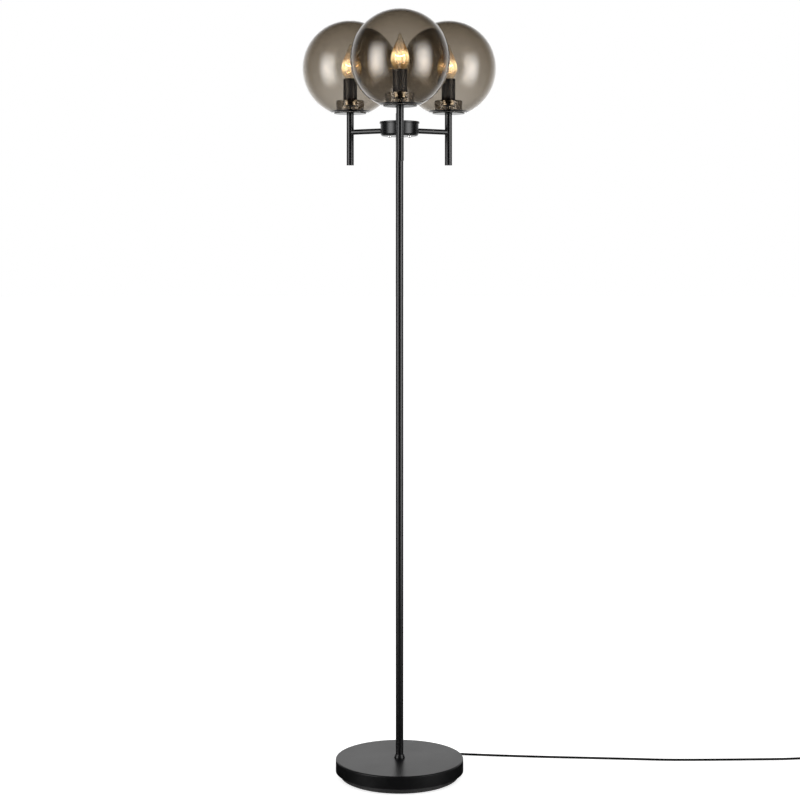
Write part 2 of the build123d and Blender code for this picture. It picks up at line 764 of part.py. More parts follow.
# ---------------------------------------------------------------- wires inside the lamp
def tube(points, radii, radius, name):
    """Round tube along straight runs and tangent arcs, with its volume set against section times length."""
    with BuildPart() as part:
        with BuildLine() as route:
            FilletPolyline(*points, radius=radii)
        path = route.wire()
        with BuildSketch(Plane(origin=path @ 0, z_dir=path % 0)):
            Circle(radius)
        sweep(path=path)
    ratio = part.part.volume / (pi * radius**2 * path.length)
    print(f"{name}: length {path.length:.1f}, volume ratio {ratio:.5f}")
    return part.part, path.length


grommet_r = TIER_D / 2 - GROMMET_GRIP
lead_x, lead_y = cos(radians(CORD_AZIMUTH)), sin(radians(CORD_AZIMUTH))
supply_points = [
    (grommet_r * lead_x, grommet_r * lead_y, grommet_z),
    (0, 0, grommet_z),
    (0, 0, arm_z),
    (0, BLOCK_OFFSET, arm_z),
]
supply_wire, _ = tube(supply_points, [WIRE_BEND_R] * 2, cord_r, "supply_wire")
finish(supply_wire, "supply_wire")

# from the terminal block to the start of each arm, as x and y; the front one passes round the stud
block_side = BLOCK_W / 2
wire_starts = {
    "front": [(block_side, 16), (block_side + 4, 16), (15, 4), (9, -14), (0, -26)],
    "right": [(block_side, 22), (block_side + 4, 22), (23, 13.3)],
    "left": [(-block_side, 22), (-block_side - 4, 22), (-23, 13.3)],
}
with BuildPart() as head_wires:
    for head, azimuth in HEADS.items():
        x, y = head_place(azimuth)
        points = [(px, py, arm_z) for px, py in wire_starts[head]]
        points += [(x, y, arm_z), (x, y, shell_z - CONTACT_DROP)]
        with BuildLine() as route:
            FilletPolyline(*points, radius=[min(r, WIRE_BEND_R) for r in corner_radii(points)])
        path = route.wire()
        with BuildSketch(Plane(origin=path @ 0, z_dir=path % 0)):
            Circle(WIRE_D / 2)
        sweep(path=path)
finish(head_wires.part, "head_wires")

# ---------------------------------------------------------------- mains lead on the floor
exit_r = TIER_D / 2 + RELIEF_L
lead_points = [
    (exit_r * lead_x, exit_r * lead_y, grommet_z),
    ((exit_r + LEAD_RUN) * lead_x, (exit_r + LEAD_RUN) * lead_y, grommet_z),
    (103.6, 132.3, 4.0),
    (132.4, 129.0, 2.7),
    (176, 122.4, lay_z),
    (232, 114.9, lay_z),
    (291, 108.8, lay_z),
    (352, 103.6, lay_z),
    (414, 99.3, lay_z),
    (476, 96.4, lay_z),
    (538, 94.9, lay_z),
    (600, 94.6, lay_z),
    (661, 95.5, lay_z),
    (722, 97.2, lay_z),
    (779, 98.6, lay_z),
    (826, SWITCH_Y, CORD_ENTRY_Z),
    (SWITCH_X, SWITCH_Y, CORD_ENTRY_Z),
]
lead_radii = corner_radii(lead_points)
print("cord_lead radii", [round(r, 1) for r in lead_radii])
cord_lead, lead_l = tube(lead_points, lead_radii, cord_r, "cord_lead")
finish(cord_lead, "cord_lead")

# The coil: half turns that close in on the floor, one half turn that climbs a layer where the spiral
# reverses, and half turns that open out again on top.
pitch = CORD_D + COIL_GAP
layer_h = CORD_D + COIL_GAP
drop = CORD_ENTRY_Z - lay_z
drop_l = COIL_DROP_R * sin(2 * asin(sqrt(drop / (4 * COIL_DROP_R))))
coil_start = Vector(SWITCH_X + SWITCH_L, SWITCH_Y, CORD_ENTRY_Z)
drop_start = coil_start + Vector(CORD_D, 0, 0)
drop_middle = drop_start + Vector(drop_l, 0, -drop / 2)
drop_end = drop_start + Vector(2 * drop_l, 0, -drop)
lower_radii = [COIL_OUTER_R - number * pitch / 2 for number in range(HALF_TURNS_LOWER)]
climb_r = lower_radii[-1] - pitch / 2
upper_radii = [climb_r + (number + 1) * pitch / 2 for number in range(HALF_TURNS_UPPER)]

with BuildPart() as cord_coil:
    with BuildLine() as coil_route:
        Line(coil_start, drop_start)
        slope = TangentArc(drop_start, drop_middle, tangent=(1, 0, 0))
        TangentArc(drop_middle, drop_end, tangent=slope % 1)
        here, way = drop_end, -1  # each half turn crosses from one side of the coil to the other
        climbs = [0] * len(lower_radii) + [layer_h] + [0] * len(upper_radii)
        for radius, climb in zip([*lower_radii, climb_r, *upper_radii], climbs):
            there = here + Vector(0, 2 * way * radius, climb)
            bulge = (there - here).length / 2
            ThreePointArc(here, (here + there) / 2 + Vector(-way * bulge, 0, 0), there)
            here, way = there, -way
        coil_end = here + Vector(-CORD_D, 0, 0)
        Line(here, coil_end)
    coil_path = coil_route.wire()
    with BuildSketch(Plane(origin=coil_start, z_dir=(1, 0, 0))):
        Circle(cord_r)
    sweep(path=coil_path)
finish(cord_coil.part, "cord_coil")

coil_l = coil_path.length
samples = int(coil_l)
trail = [coil_path @ (number / samples) for number in range(samples + 1)]
apart = int(pi * CORD_D)
least = min((a - b).length for i, a in enumerate(trail) for b in trail[i + apart :])
ratio = cord_coil.part.volume / (pi * cord_r**2 * coil_l)
middle_d = (max(upper_radii) + climb_r) / CORD_D
print(f"cord_coil: length {coil_l:.1f}, volume ratio {ratio:.5f}")
print(f"cord_coil: least gap to itself {least - CORD_D:.2f}, tightest radius {climb_r:.1f}")
print(f"cord_coil: {middle_d:.1f} diameters across at mid-turn")
print(f"mains lead outside the foot: {lead_l + SWITCH_L + coil_l:.0f} mm with the switch")

# ---------------------------------------------------------------- foot switch
switch_center = (SWITCH_X + SWITCH_L / 2, SWITCH_Y)
cover_top_z = SWITCH_BASE_H + SWITCH_COVER_H
lip_z = cover_top_z - SWITCH_WALL - LOOSE - BUTTON_LIP_T

with BuildPart() as switch_base:
    with BuildSketch(Plane((*switch_center, 0))):
        RectangleRounded(SWITCH_L, SWITCH_W, SWITCH_CORNER_R)
    extrude(amount=SWITCH_BASE_H)
    with BuildSketch(Plane((*switch_center, SWITCH_BASE_H))):
        Circle(BUTTON_LIP_D / 2 + LOOSE)
    extrude(amount=lip_z - BUTTON_SKIRT_H - BUTTON_TRAVEL - LOOSE - SWITCH_BASE_H, mode=Mode.SUBTRACT)
finish(switch_base.part, "switch_base")

with BuildPart() as switch_cover:
    with BuildSketch(Plane((*switch_center, SWITCH_BASE_H))):
        RectangleRounded(SWITCH_L, SWITCH_W, SWITCH_CORNER_R)
    extrude(amount=SWITCH_COVER_H)
    fillet(switch_cover.edges().group_by(Axis.Z)[-1], SWITCH_EDGE_R)
    with BuildSketch(Plane((*switch_center, SWITCH_BASE_H))):
        RectangleRounded(
            SWITCH_L - 2 * SWITCH_WALL, SWITCH_W - 2 * SWITCH_WALL, SWITCH_CORNER_R - SWITCH_WALL
        )
    extrude(amount=SWITCH_COVER_H - SWITCH_WALL, mode=Mode.SUBTRACT)
    with BuildSketch(Plane((*switch_center, cover_top_z))):
        Circle(BUTTON_D / 2 + LOOSE)
    extrude(amount=-SWITCH_COVER_H, mode=Mode.SUBTRACT)
finish(switch_cover.part, "switch_cover")

with BuildPart() as switch_button:
    with BuildSketch(Plane((*switch_center, lip_z - BUTTON_SKIRT_H))):
        Circle(BUTTON_D / 2)
    extrude(amount=cover_top_z + BUTTON_RISE - lip_z + BUTTON_SKIRT_H)
    fillet(switch_button.edges().group_by(Axis.Z)[-1], BUTTON_RISE / 2)
    with BuildSketch(Plane((*switch_center, lip_z))):
        Circle(BUTTON_LIP_D / 2)
    extrude(amount=BUTTON_LIP_T)
finish(switch_button.part, "switch_button")

# ---------------------------------------------------------------- plug
tail_x = coil_end.X - PLUG_TAIL_L
nose_x = tail_x - PLUG_L
with BuildPart() as plug_body:
    with BuildSketch(Plane.XY.offset(coil_end.Z - PLUG_H / 2)):
        with BuildLine():
            Polyline(
                (tail_x, coil_end.Y - PLUG_TAIL_W / 2),
                (tail_x, coil_end.Y + PLUG_TAIL_W / 2),
                (tail_x - PLUG_SHOULDER_L, coil_end.Y + PLUG_W / 2),
                (nose_x, coil_end.Y + PLUG_W / 2),
                (nose_x, coil_end.Y - PLUG_W / 2),
                (tail_x - PLUG_SHOULDER_L, coil_end.Y - PLUG_W / 2),
                close=True,
            )
        make_face()
    extrude(amount=PLUG_H)
    fillet(plug_body.edges().filter_by(Axis.Z), PLUG_EDGE_R)
    fillet(plug_body.edges().group_by(Axis.Z)[-1] + plug_body.edges().group_by(Axis.Z)[0], PLUG_EDGE_R)
    with BuildSketch(Plane(origin=(tail_x, coil_end.Y, coil_end.Z), z_dir=(1, 0, 0))):
        Circle(PLUG_TAIL_D / 2)
    with BuildSketch(Plane(origin=coil_end, z_dir=(1, 0, 0))):
        Circle(PLUG_TIP_D / 2)
    loft()
    with BuildSketch(Plane(origin=(nose_x, coil_end.Y, coil_end.Z), x_dir=(0, 1, 0), z_dir=(-1, 0, 0))):
        with GridLocations(PIN_SPACING, 0, 2, 1):
            Circle(PIN_D / 2 + FIT)
    extrude(amount=-PIN_ROOT, mode=Mode.SUBTRACT)
finish(plug_body.part, "plug_body")

with BuildPart() as plug_pins:
    with BuildSketch(
        Plane(origin=(nose_x + PIN_ROOT, coil_end.Y, coil_end.Z), x_dir=(0, 1, 0), z_dir=(-1, 0, 0))
    ):
        with GridLocations(PIN_SPACING, 0, 2, 1):
            Circle(PIN_D / 2)
    extrude(amount=PIN_ROOT + PIN_L)
    fillet(plug_pins.edges().group_by(Axis.X)[0], PIN_D * 0.4)
finish(plug_pins.part, "plug_pins")
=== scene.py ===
"""Looks for a globe floor lamp: satin black steel, smoked glass globes round lit candle bulbs, the mains lead
with its switch and plug, and a plain studio with the camera."""

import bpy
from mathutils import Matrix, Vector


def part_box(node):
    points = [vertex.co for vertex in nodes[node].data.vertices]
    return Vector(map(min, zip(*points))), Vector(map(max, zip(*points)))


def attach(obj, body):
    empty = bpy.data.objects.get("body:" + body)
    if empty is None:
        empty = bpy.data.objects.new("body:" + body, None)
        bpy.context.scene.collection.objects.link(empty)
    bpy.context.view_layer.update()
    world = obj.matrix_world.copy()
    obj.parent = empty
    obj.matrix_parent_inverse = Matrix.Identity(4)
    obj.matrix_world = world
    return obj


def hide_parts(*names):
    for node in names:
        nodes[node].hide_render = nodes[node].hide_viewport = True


bl_info = {
    "name": "Globe floor lamp",
    "version": (1, 0, 0),
    "blender": (4, 5, 0),
    "location": "3D View > Sidebar > Floor lamp",
    "description": "Builds the steelwork, glass, bulbs, mains lead and studio of a globe floor lamp",
    "category": "Object",
}

from math import atan2, cos, degrees, log, pi, radians, sin, sqrt, tan

import bmesh
import bpy
from bpy.props import FloatProperty, FloatVectorProperty, IntProperty, PointerProperty
from mathutils import Matrix, Vector

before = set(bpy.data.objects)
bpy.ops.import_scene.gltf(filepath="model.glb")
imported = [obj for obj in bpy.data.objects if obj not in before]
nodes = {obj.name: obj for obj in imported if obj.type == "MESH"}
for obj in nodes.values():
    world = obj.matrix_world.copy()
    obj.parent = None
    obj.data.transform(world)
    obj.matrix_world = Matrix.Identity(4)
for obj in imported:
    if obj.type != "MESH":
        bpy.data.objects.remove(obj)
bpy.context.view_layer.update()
HEADS = ("front", "right", "left")
FILAMENT_DROP = 0.041  # from the bulb's tip down to its filament
RELIEF_END = 0.139  # from the pole's axis to the end of the lead's relief


# ---------------------------------------------------------------- node trees
class Value:
    """A node socket that takes part in Python arithmetic: each operation adds a Math node."""

    def __init__(self, tree, socket):
        self.tree = tree
        self.socket = socket

    def math(self, operation, *values):
        return self.tree.node("ShaderNodeMath", {"operation": operation}, values)

    def __add__(self, other):
        return self.math("ADD", self, other)

    __radd__ = __add__

    def __sub__(self, other):
        return self.math("SUBTRACT", self, other)

    def __rsub__(self, other):
        return self.math("SUBTRACT", other, self)

    def __mul__(self, other):
        return self.math("MULTIPLY", self, other)

    __rmul__ = __mul__

    def __truediv__(self, other):
        return self.math("DIVIDE", self, other)

    def __pow__(self, other):
        return self.math("POWER", self, other)

    def clipped(self):
        return self.tree.node("ShaderNodeClamp", {}, [self])

    def size(self):
        return self.math("ABSOLUTE", self)

    def hump(self):
        """1 in the middle, falling smoothly to 0 at 1 and -1."""
        return (1 - self * self).clipped()

    def parts(self):
        split = self.tree.raw("ShaderNodeSeparateXYZ", {}, [self])
        return [Value(self.tree, socket) for socket in split.outputs]


class Tree:
    """A node tree that is written as expressions."""

    def __init__(self, tree):
        self.tree = tree
        tree.nodes.clear()

    def raw(self, kind, settings, inputs):
        """Adds a node: its settings first, then the values or links of its inputs, by name or in order."""
        node = self.tree.nodes.new(kind)
        for key, setting in settings.items():
            setattr(node, key, setting)
        pairs = inputs.items() if isinstance(inputs, dict) else enumerate(inputs)
        for key, given in pairs:
            if isinstance(given, Value):
                self.tree.links.new(given.socket, node.inputs[key])
            elif given is not None:
                node.inputs[key].default_value = given
        return node

    def node(self, kind, settings, inputs, output=0):
        return Value(self, self.raw(kind, settings, inputs).outputs[output])


def rgba(colour):
    return (*colour[:3], 1.0)


class Finish(Tree):
    """A material round one Principled shader, with patterns on Object coordinates in metres."""

    def __init__(self, name, slot):
        self.material = bpy.data.materials.new(name)
        self.material.use_nodes = True
        self.slot = slot
        super().__init__(self.material.node_tree)
        self.place = self.node("ShaderNodeTexCoord", {}, [], "Object")

    def noise(self, scale, detail=2.0, stretch=(1, 1, 1), rough=0.5):
        at = self.node("ShaderNodeMapping", {}, {"Vector": self.place, "Scale": stretch})
        return self.node(
            "ShaderNodeTexNoise", {}, {"Vector": at, "Scale": scale, "Detail": detail, "Roughness": rough}
        )

    def cells(self, scale):
        return self.node("ShaderNodeTexVoronoi", {}, {"Vector": self.place, "Scale": scale})

    def blend(self, mask, low, high):
        """Colour between two others, each a plain colour or a pattern."""
        low, high = [c if isinstance(c, Value) else rgba(c) for c in (low, high)]
        return self.node("ShaderNodeMix", {"data_type": "RGBA"}, {0: mask, 6: low, 7: high}, output=2)

    def relief(self, height, depth, strength=1.0):
        """Bump from a height of 0 to 1 that stands for this depth in metres."""
        return self.node("ShaderNodeBump", {}, {"Strength": strength, "Distance": depth, "Height": height})

    def done(self, Volume=None, **sockets):
        shader = self.raw(
            "ShaderNodeBsdfPrincipled", {}, {key.replace("_", " "): v for key, v in sockets.items()}
        )
        self.raw("ShaderNodeOutputMaterial", {}, {"Surface": Value(self, shader.outputs[0]), "Volume": Volume})
        return self


# ---------------------------------------------------------------- finishes
def powder_coat(name, colour, roughness):
    f = Finish(name, "black_steel")
    peel = f.noise(1400, 3)
    cloud = f.noise(14, 3)
    return f.done(
        Base_Color=f.blend(cloud, [c * 0.8 for c in colour], [c * 1.25 for c in colour]),
        Roughness=roughness - 0.05 + cloud * 0.1,
        IOR=1.34,
        Normal=f.relief(peel, 0.00006, 0.5),
    )


def casting():
    f = Finish("painted_casting", "cast_iron")
    grain = f.noise(420, 5, rough=0.65)
    return f.done(
        Base_Color=f.blend(grain, (0.018, 0.018, 0.019), (0.045, 0.044, 0.043)),
        Roughness=0.5 + grain * 0.25,
        Normal=f.relief(grain, 0.0004, 0.7),
    )


def foam():
    f = Finish("foam_rubber", "foam_pad")
    pores = f.cells(900)
    return f.done(
        Base_Color=f.blend(pores, (0.012, 0.012, 0.012), (0.04, 0.04, 0.04)),
        Roughness=0.95,
        Normal=f.relief(pores, 0.0004),
    )


def zinc():
    f = Finish("zinc_plate", "zinc_steel")
    spangle = f.noise(160, 4)
    return f.done(
        Base_Color=f.blend(spangle, (0.52, 0.53, 0.53), (0.68, 0.69, 0.71)),
        Metallic=1.0,
        Roughness=0.28 + spangle * 0.2,
        Normal=f.relief(f.noise(2500, 2), 0.00003, 0.4),
    )


def nickel(colour):
    f = Finish("bright_nickel", "nickel")
    lines = f.noise(1.0, 2, stretch=(40, 40, 9000))
    return f.done(
        Base_Color=f.blend(lines, [c * 0.94 for c in colour], colour),
        Metallic=1.0,
        Roughness=0.16 + lines * 0.12,
        Normal=f.relief(lines, 0.00002, 0.5),
    )


def plated(name, slot, dark, light, scale, gloss, depth=0.0):
    """Plate whose tarnish dulls it, and pits it where a depth is given."""
    f = Finish(name, slot)
    tarnish = f.noise(scale, 4)
    return f.done(
        Base_Color=f.blend(tarnish, dark, light),
        Metallic=1.0,
        Roughness=gloss + tarnish * gloss,
        Normal=f.relief(tarnish, depth, 0.4) if depth else None,
    )


def brass():
    return plated("plated_brass", "brass", (0.6, 0.46, 0.22), (0.8, 0.68, 0.4), 300, 0.2)


def cap_metal():
    return plated("bulb_cap_plate", "bulb_metal", (0.58, 0.56, 0.52), (0.78, 0.77, 0.74), 240, 0.22, 0.00005)


def smoked_glass(tint, wall):
    """Clear glass that absorbs light by depth, so that thicker and slanting glass is darker."""
    f = Finish("smoked_glass", "smoked_glass")
    wave = f.noise(14, 1)
    cloud = f.noise(5, 2)
    dense = max(-log(c) for c in tint) / wall * 1.02
    kept = [1 + log(c) / wall / dense for c in tint]
    shader = f.raw("ShaderNodeVolumeAbsorption", {}, {"Color": rgba(kept), "Density": dense})
    return f.done(
        Volume=Value(f, shader.outputs[0]),
        Base_Color=f.blend(cloud, (0.97, 0.965, 0.955), (1.0, 1.0, 1.0)),
        Roughness=0.0,
        IOR=1.5,
        Transmission_Weight=1.0,
        Normal=f.relief(wave, 0.0003, 0.2),
    )


def bulb_glass(glow, strength, level):
    """Clear glass with a painted glow, emission that stands in for the filament's warm light on it, most at its
    level and some down to the cap.
    """
    f = Finish("bulb_glass", "clear_glass")
    z = f.place.parts()[2]
    # Painted glow: streaky emission on the glass, a wide warm band round the filament's level and a brighter core
    # just under it. The glass gives no light of its own.
    streak = (f.noise(1.0, 3, stretch=(560, 560, 75), rough=0.6) * 1.75) ** 7
    wide = (((z - level - 0.001) / 0.03).hump() ** 2 * streak).clipped()
    painted_core_glow = (((z - level + 0.002) / 0.014).hump() ** 2 * (streak * 1.3 + 0.15)).clipped()
    ripple = f.noise(90, 2)
    warm = f.blend(wide, (0.0, 0.0, 0.0), [c * 0.3 for c in glow])
    return f.done(
        Base_Color=(0.99, 0.95, 0.88, 1.0),
        Roughness=0.0,
        IOR=1.46,
        Transmission_Weight=1.0,
        Emission_Color=f.blend(painted_core_glow, warm, (1.0, 0.78, 0.42)),
        Emission_Strength=strength,
        Normal=f.relief(ripple, 0.0004, 0.3),
    )


def filament_glow(glow, strength):
    f = Finish("glowing_filament", "filament")
    flicker = f.noise(900, 2)
    return f.done(
        Base_Color=(0.3, 0.28, 0.26, 1.0),
        Roughness=0.5,
        Emission_Color=f.blend(flicker, [c * 0.85 for c in glow], glow),
        Emission_Strength=strength,
    )


def stem_glass():
    f = Finish("stem_glass", "clear_glass")
    cloud = f.noise(400, 2)
    return f.done(
        Base_Color=f.blend(cloud, (0.85, 0.8, 0.7), (0.95, 0.92, 0.86)),
        Roughness=0.08,
        IOR=1.5,
        Transmission_Weight=0.85,
    )


def moulded(name, slot, colour, roughness, grain=1600, depth=0.00008):
    """Moulded plastic with a fine spark-eroded grain."""
    f = Finish(name, slot)
    pits = f.noise(grain, 4, rough=0.7)
    cloud = f.noise(30, 2)
    return f.done(
        Base_Color=f.blend(cloud, [c * 0.85 for c in colour], [c * 1.15 for c in colour]),
        Roughness=roughness - 0.08 + pits * 0.16,
        Normal=f.relief(pits, depth, 0.6),
    )


def silicone():
    f = Finish("seat_silicone", "silicone")
    cloud = f.noise(200, 3)
    return f.done(
        Base_Color=f.blend(cloud, (0.62, 0.61, 0.59), (0.78, 0.77, 0.75)),
        Roughness=0.45,
        Transmission_Weight=0.3,
        IOR=1.41,
    )


def lead_sheath(name, slot, colour):
    """Soft PVC sheath: a dull sheen with faint drawn lines and scuffs."""
    f = Finish(name, slot)
    scuff = f.noise(160, 4, rough=0.7)
    drawn = f.noise(1100, 2)
    return f.done(
        Base_Color=f.blend(scuff, [c * 0.8 for c in colour], [c * 1.6 for c in colour]),
        Roughness=0.55 + scuff * 0.2,
        IOR=1.25,
        Normal=f.relief(drawn, 0.00005, 0.5),
    )


# ---------------------------------------------------------------- shapes
def piece(name, mesh, finish, body, *stands_for, smooth=35):
    """Links a mesh as a finished piece that rides on a body and stands for these CAD nodes."""
    mesh.shade_smooth()
    mesh.set_sharp_from_angle(angle=radians(smooth))
    mesh.materials.clear()
    mesh.materials.append(finish.material)
    made = bpy.data.objects.new(name, mesh)
    bpy.context.scene.collection.objects.link(made)
    return placed(made, finish, body, *stands_for)


def placed(made, finish, body, *stands_for):
    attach(made, body)
    if stands_for:
        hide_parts(*stands_for)
    return made


def dress(finish, *names):
    """Gives CAD nodes that keep their shape a finish."""
    for name in names:
        nodes[name].data.materials.clear()
        nodes[name].data.materials.append(finish.material)


def arc(centre_r, centre_z, radius, start, end, steps):
    """Points of an arc in an outline, from one angle in degrees to the other."""
    angles = [radians(start + (end - start) * step / steps) for step in range(steps + 1)]
    return [(centre_r + radius * cos(a), centre_z + radius * sin(a)) for a in angles]


def hermite(start, end, leave, arrive, steps):
    """Points of a smooth curve between two points with these end directions, without the first."""
    made = []
    for step in range(1, steps + 1):
        t = step / steps
        a, b = 2 * t**3 - 3 * t**2 + 1, t**3 - 2 * t**2 + t
        c, d = 3 * t**2 - 2 * t**3, t**3 - t**2
        made.append(tuple(a * s + b * u + c * e + d * v for s, e, u, v in zip(start, end, leave, arrive)))
    return made


def rounded(*corners, steps=5):
    """Closed outline through corners (radius, height, rounding), with an arc at each rounded one."""
    outline = []
    for before, here, after in zip(corners[-1:] + corners[:-1], corners, corners[1:] + corners[:1]):
        at = Vector(here[:2])
        if len(here) == 2:
            outline.append(tuple(at))
            continue
        back = (Vector(before[:2]) - at).normalized()
        on = (Vector(after[:2]) - at).normalized()
        half = back.angle(on) / 2
        middle = at + (back + on).normalized() * here[2] / sin(half)
        first = at + back * here[2] / tan(half) - middle
        last = at + on * here[2] / tan(half) - middle
        turn = first.angle_signed(last)
        start = atan2(first.y, first.x)
        for step in range(steps + 1):
            angle = start - turn * step / steps
            outline.append((middle.x + here[2] * cos(angle), middle.y + here[2] * sin(angle)))
    return outline


def finished(name, build):
    """Mesh from a bmesh, which is used up."""
    mesh = bpy.data.meshes.new(name)
    build.to_mesh(mesh)
    build.free()
    return mesh


def turned(name, outline, segments=96, place=None, swell=None):
    """Mesh of a closed outline (radius, height) turned round the Z axis, then moved by a matrix or to (x, y).
    swell(angle, height) adds to the radius."""
    if place is None or not isinstance(place, Matrix):
        place = Matrix.Translation((*(place or (0, 0)), 0))
    build = bmesh.new()
    rings = []
    for radius, height in outline:
        if radius < 1e-7:
            rings.append([build.verts.new((0, 0, height))])
            continue
        ring = []
        for k in range(segments):
            angle = 2 * pi * k / segments
            r = radius + (swell(angle, height) if swell else 0)
            ring.append(build.verts.new((r * cos(angle), r * sin(angle), height)))
        rings.append(ring)
    for one, two in zip(rings, rings[1:] + rings[:1]):
        if len(one) == len(two) == 1:
            continue
        for k in range(segments):
            loop = [one[k % len(one)], one[(k + 1) % segments % len(one)]]
            loop += [two[(k + 1) % segments % len(two)], two[k % len(two)]]
            build.faces.new(list(dict.fromkeys(loop)))
    bmesh.ops.remove_doubles(build, verts=build.verts, dist=1e-8)
    bmesh.ops.recalc_face_normals(build, faces=build.faces)
    build.transform(place)
    return finished(name, build)


def swept(name, spots, radius, sides=12):
    """Mesh of a round wire through these points, closed at both ends."""
    spots = [Vector(s) for s in spots]
    side = (spots[1] - spots[0]).orthogonal().normalized()
    rings = []
    for k, spot in enumerate(spots):
        way = (spots[min(k + 1, len(spots) - 1)] - spots[max(k - 1, 0)]).normalized()
        side = (side - way * side.dot(way)).normalized()
        up = way.cross(side)
        turns = [2 * pi * n / sides for n in range(sides)]
        rings.append([spot + radius * (side * cos(a) + up * sin(a)) for a in turns])
    return lofted(name, rings)


def ribbed(name, place, long, root_r, tip_r, plain, ribs=6):
    """Flexible tail along Z that tapers past a plain root and is cut into ribs."""

    def reach(z):
        return root_r + (tip_r - root_r) * max(0, z - plain) / (long - plain)

    pitch = (long - plain) / ribs
    outline = [(0, 0), (root_r - 0.0003, 0), (root_r, 0.0003)]
    for rib in range(ribs):
        z = plain + rib * pitch
        waist = reach(z) * 0.86
        outline += [(reach(z) - 0.0001, z), (waist, z + pitch * 0.08), (waist, z + pitch * 0.34)]
        outline += [(reach(z + pitch * 0.42), z + pitch * 0.42)]
    outline += [(tip_r, long - 0.0004), (tip_r - 0.0004, long), (0, long)]
    return turned(name, outline, 48, place)


def lofted(name, sections):
    """Closed mesh through rings with equal numbers of points, capped at both ends."""
    build = bmesh.new()
    rings = [[build.verts.new(p) for p in section] for section in sections]
    for one, two in zip(rings, rings[1:]):
        for n in range(len(one)):
            m = (n + 1) % len(one)
            build.faces.new((one[n], one[m], two[m], two[n]))
    build.faces.new(reversed(rings[0]))
    build.faces.new(rings[-1])
    bmesh.ops.recalc_face_normals(build, faces=build.faces)
    return finished(name, build)


def joined(name, *meshes):
    """One mesh from several, which are used up."""
    build = bmesh.new()
    for mesh in meshes:
        build.from_mesh(mesh)
        bpy.data.meshes.remove(mesh)
    return finished(name, build)


def bar(name, size, centre, turn=0.0, edge=0.0):
    """Box of this size about a centre, turned about Z, with its edges rounded."""
    build = bmesh.new()
    bmesh.ops.create_cube(build, size=1.0)
    build.transform(Matrix.Translation(centre) @ Matrix.Rotation(turn, 4, "Z") @ Matrix.Diagonal((*size, 1)))
    if edge:
        bmesh.ops.bevel(build, geom=build.edges, offset=edge, segments=3, profile=0.6, affect="EDGES")
    return finished(name, build)


def carved(mesh, cutter):
    """A mesh less another, both used up."""
    block, tool = bpy.data.objects.new("block", mesh), bpy.data.objects.new("tool", cutter)
    for made in (block, tool):
        bpy.context.scene.collection.objects.link(made)
    cut = block.modifiers.new("cut", "BOOLEAN")
    cut.object = tool
    cut.solver = "EXACT"
    cut.use_self = True
    depsgraph = bpy.context.evaluated_depsgraph_get()
    left = bpy.data.meshes.new_from_object(block.evaluated_get(depsgraph))
    for made in (block, tool):
        bpy.data.objects.remove(made)
    return left


def axis_of(node):
    low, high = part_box(node)
    return (low.x + high.x) / 2, (low.y + high.y) / 2


def along(start, direction):
    """Matrix that lays the Z axis along a direction from a point."""
    return Matrix.Translation(start) @ Vector(direction).to_track_quat("Z", "Y").to_matrix().to_4x4()


# ---------------------------------------------------------------- what repeats
def geometry_tree(name, inputs):
    """Geometry Nodes tree with named inputs; returns the tree and its input values."""
    group = bpy.data.node_groups.new(name, "GeometryNodeTree")
    tree = Tree(group)
    group.interface.new_socket("Geometry", in_out="INPUT", socket_type="NodeSocketGeometry")
    for label, kind in inputs.items():
        group.interface.new_socket(label, in_out="INPUT", socket_type=kind)
    group.interface.new_socket("Geometry", in_out="OUTPUT", socket_type="NodeSocketGeometry")
    given = tree.raw("NodeGroupInput", {}, [])
    return tree, {socket.name: Value(tree, socket) for socket in given.outputs if socket.name}


def end_tree(tree, shape, finish):
    """Ends a Geometry Nodes tree in Realize Instances and Set Material."""
    solid = tree.node("GeometryNodeRealizeInstances", {}, {"Geometry": shape})
    done = tree.node("GeometryNodeSetMaterial", {}, {"Geometry": solid, "Material": finish.material})
    tree.raw("NodeGroupOutput", {}, {"Geometry": done})


def ring_tree(name, finish):
    """Copies of a shape, evenly turned round the Z axis."""
    tree, given = geometry_tree(
        name, {"Count": "NodeSocketInt", "Start Angle": "NodeSocketFloat", "Centre": "NodeSocketVector"}
    )
    spots = tree.node("GeometryNodeMeshLine", {}, {"Count": given["Count"], "Offset": (0, 0, 0)})
    number = tree.node("GeometryNodeInputIndex", {}, [])
    turn = given["Start Angle"] + number * (2 * pi) / given["Count"]
    angle = tree.node("ShaderNodeCombineXYZ", {}, {"Z": turn})
    copies = tree.node(
        "GeometryNodeInstanceOnPoints",
        {},
        {"Points": spots, "Instance": given["Geometry"], "Rotation": angle},
    )
    moved = tree.node("GeometryNodeTransform", {}, {"Geometry": copies, "Translation": given["Centre"]})
    end_tree(tree, moved, finish)
    return tree.tree


def spring_tree(name, finish):
    """A fine helix that hangs in a shallow curve between its two ends, along X."""
    kinds = dict.fromkeys(("Turns", "Span", "Radius", "Wire", "Sag"), "NodeSocketFloat")
    kinds["Centre"] = "NodeSocketVector"
    tree, given = geometry_tree(name, kinds)
    helix = tree.node(
        "GeometryNodeCurveSpiral",
        {},
        {
            "Resolution": 10,
            "Rotations": given["Turns"],
            "Start Radius": given["Radius"],
            "End Radius": given["Radius"],
            "Height": given["Span"],
        },
    )
    x, y, z = tree.node("GeometryNodeInputPosition", {}, []).parts()
    reach = z / given["Span"] * 2 - 1
    hang = given["Sag"] * (reach * reach - 1)
    laid = tree.node(
        "ShaderNodeCombineXYZ", {}, {"X": z - given["Span"] / 2, "Y": y, "Z": x + hang}
    )
    bent = tree.node("GeometryNodeSetPosition", {}, {"Geometry": helix, "Position": laid})
    section = tree.node("GeometryNodeCurvePrimitiveCircle", {}, {"Resolution": 6, "Radius": given["Wire"]})
    sweep = {"Curve": bent, "Profile Curve": section, "Fill Caps": True}
    wire = tree.node("GeometryNodeCurveToMesh", {}, sweep)
    moved = tree.node("GeometryNodeTransform", {}, {"Geometry": wire, "Translation": given["Centre"]})
    end_tree(tree, moved, finish)
    return tree.tree


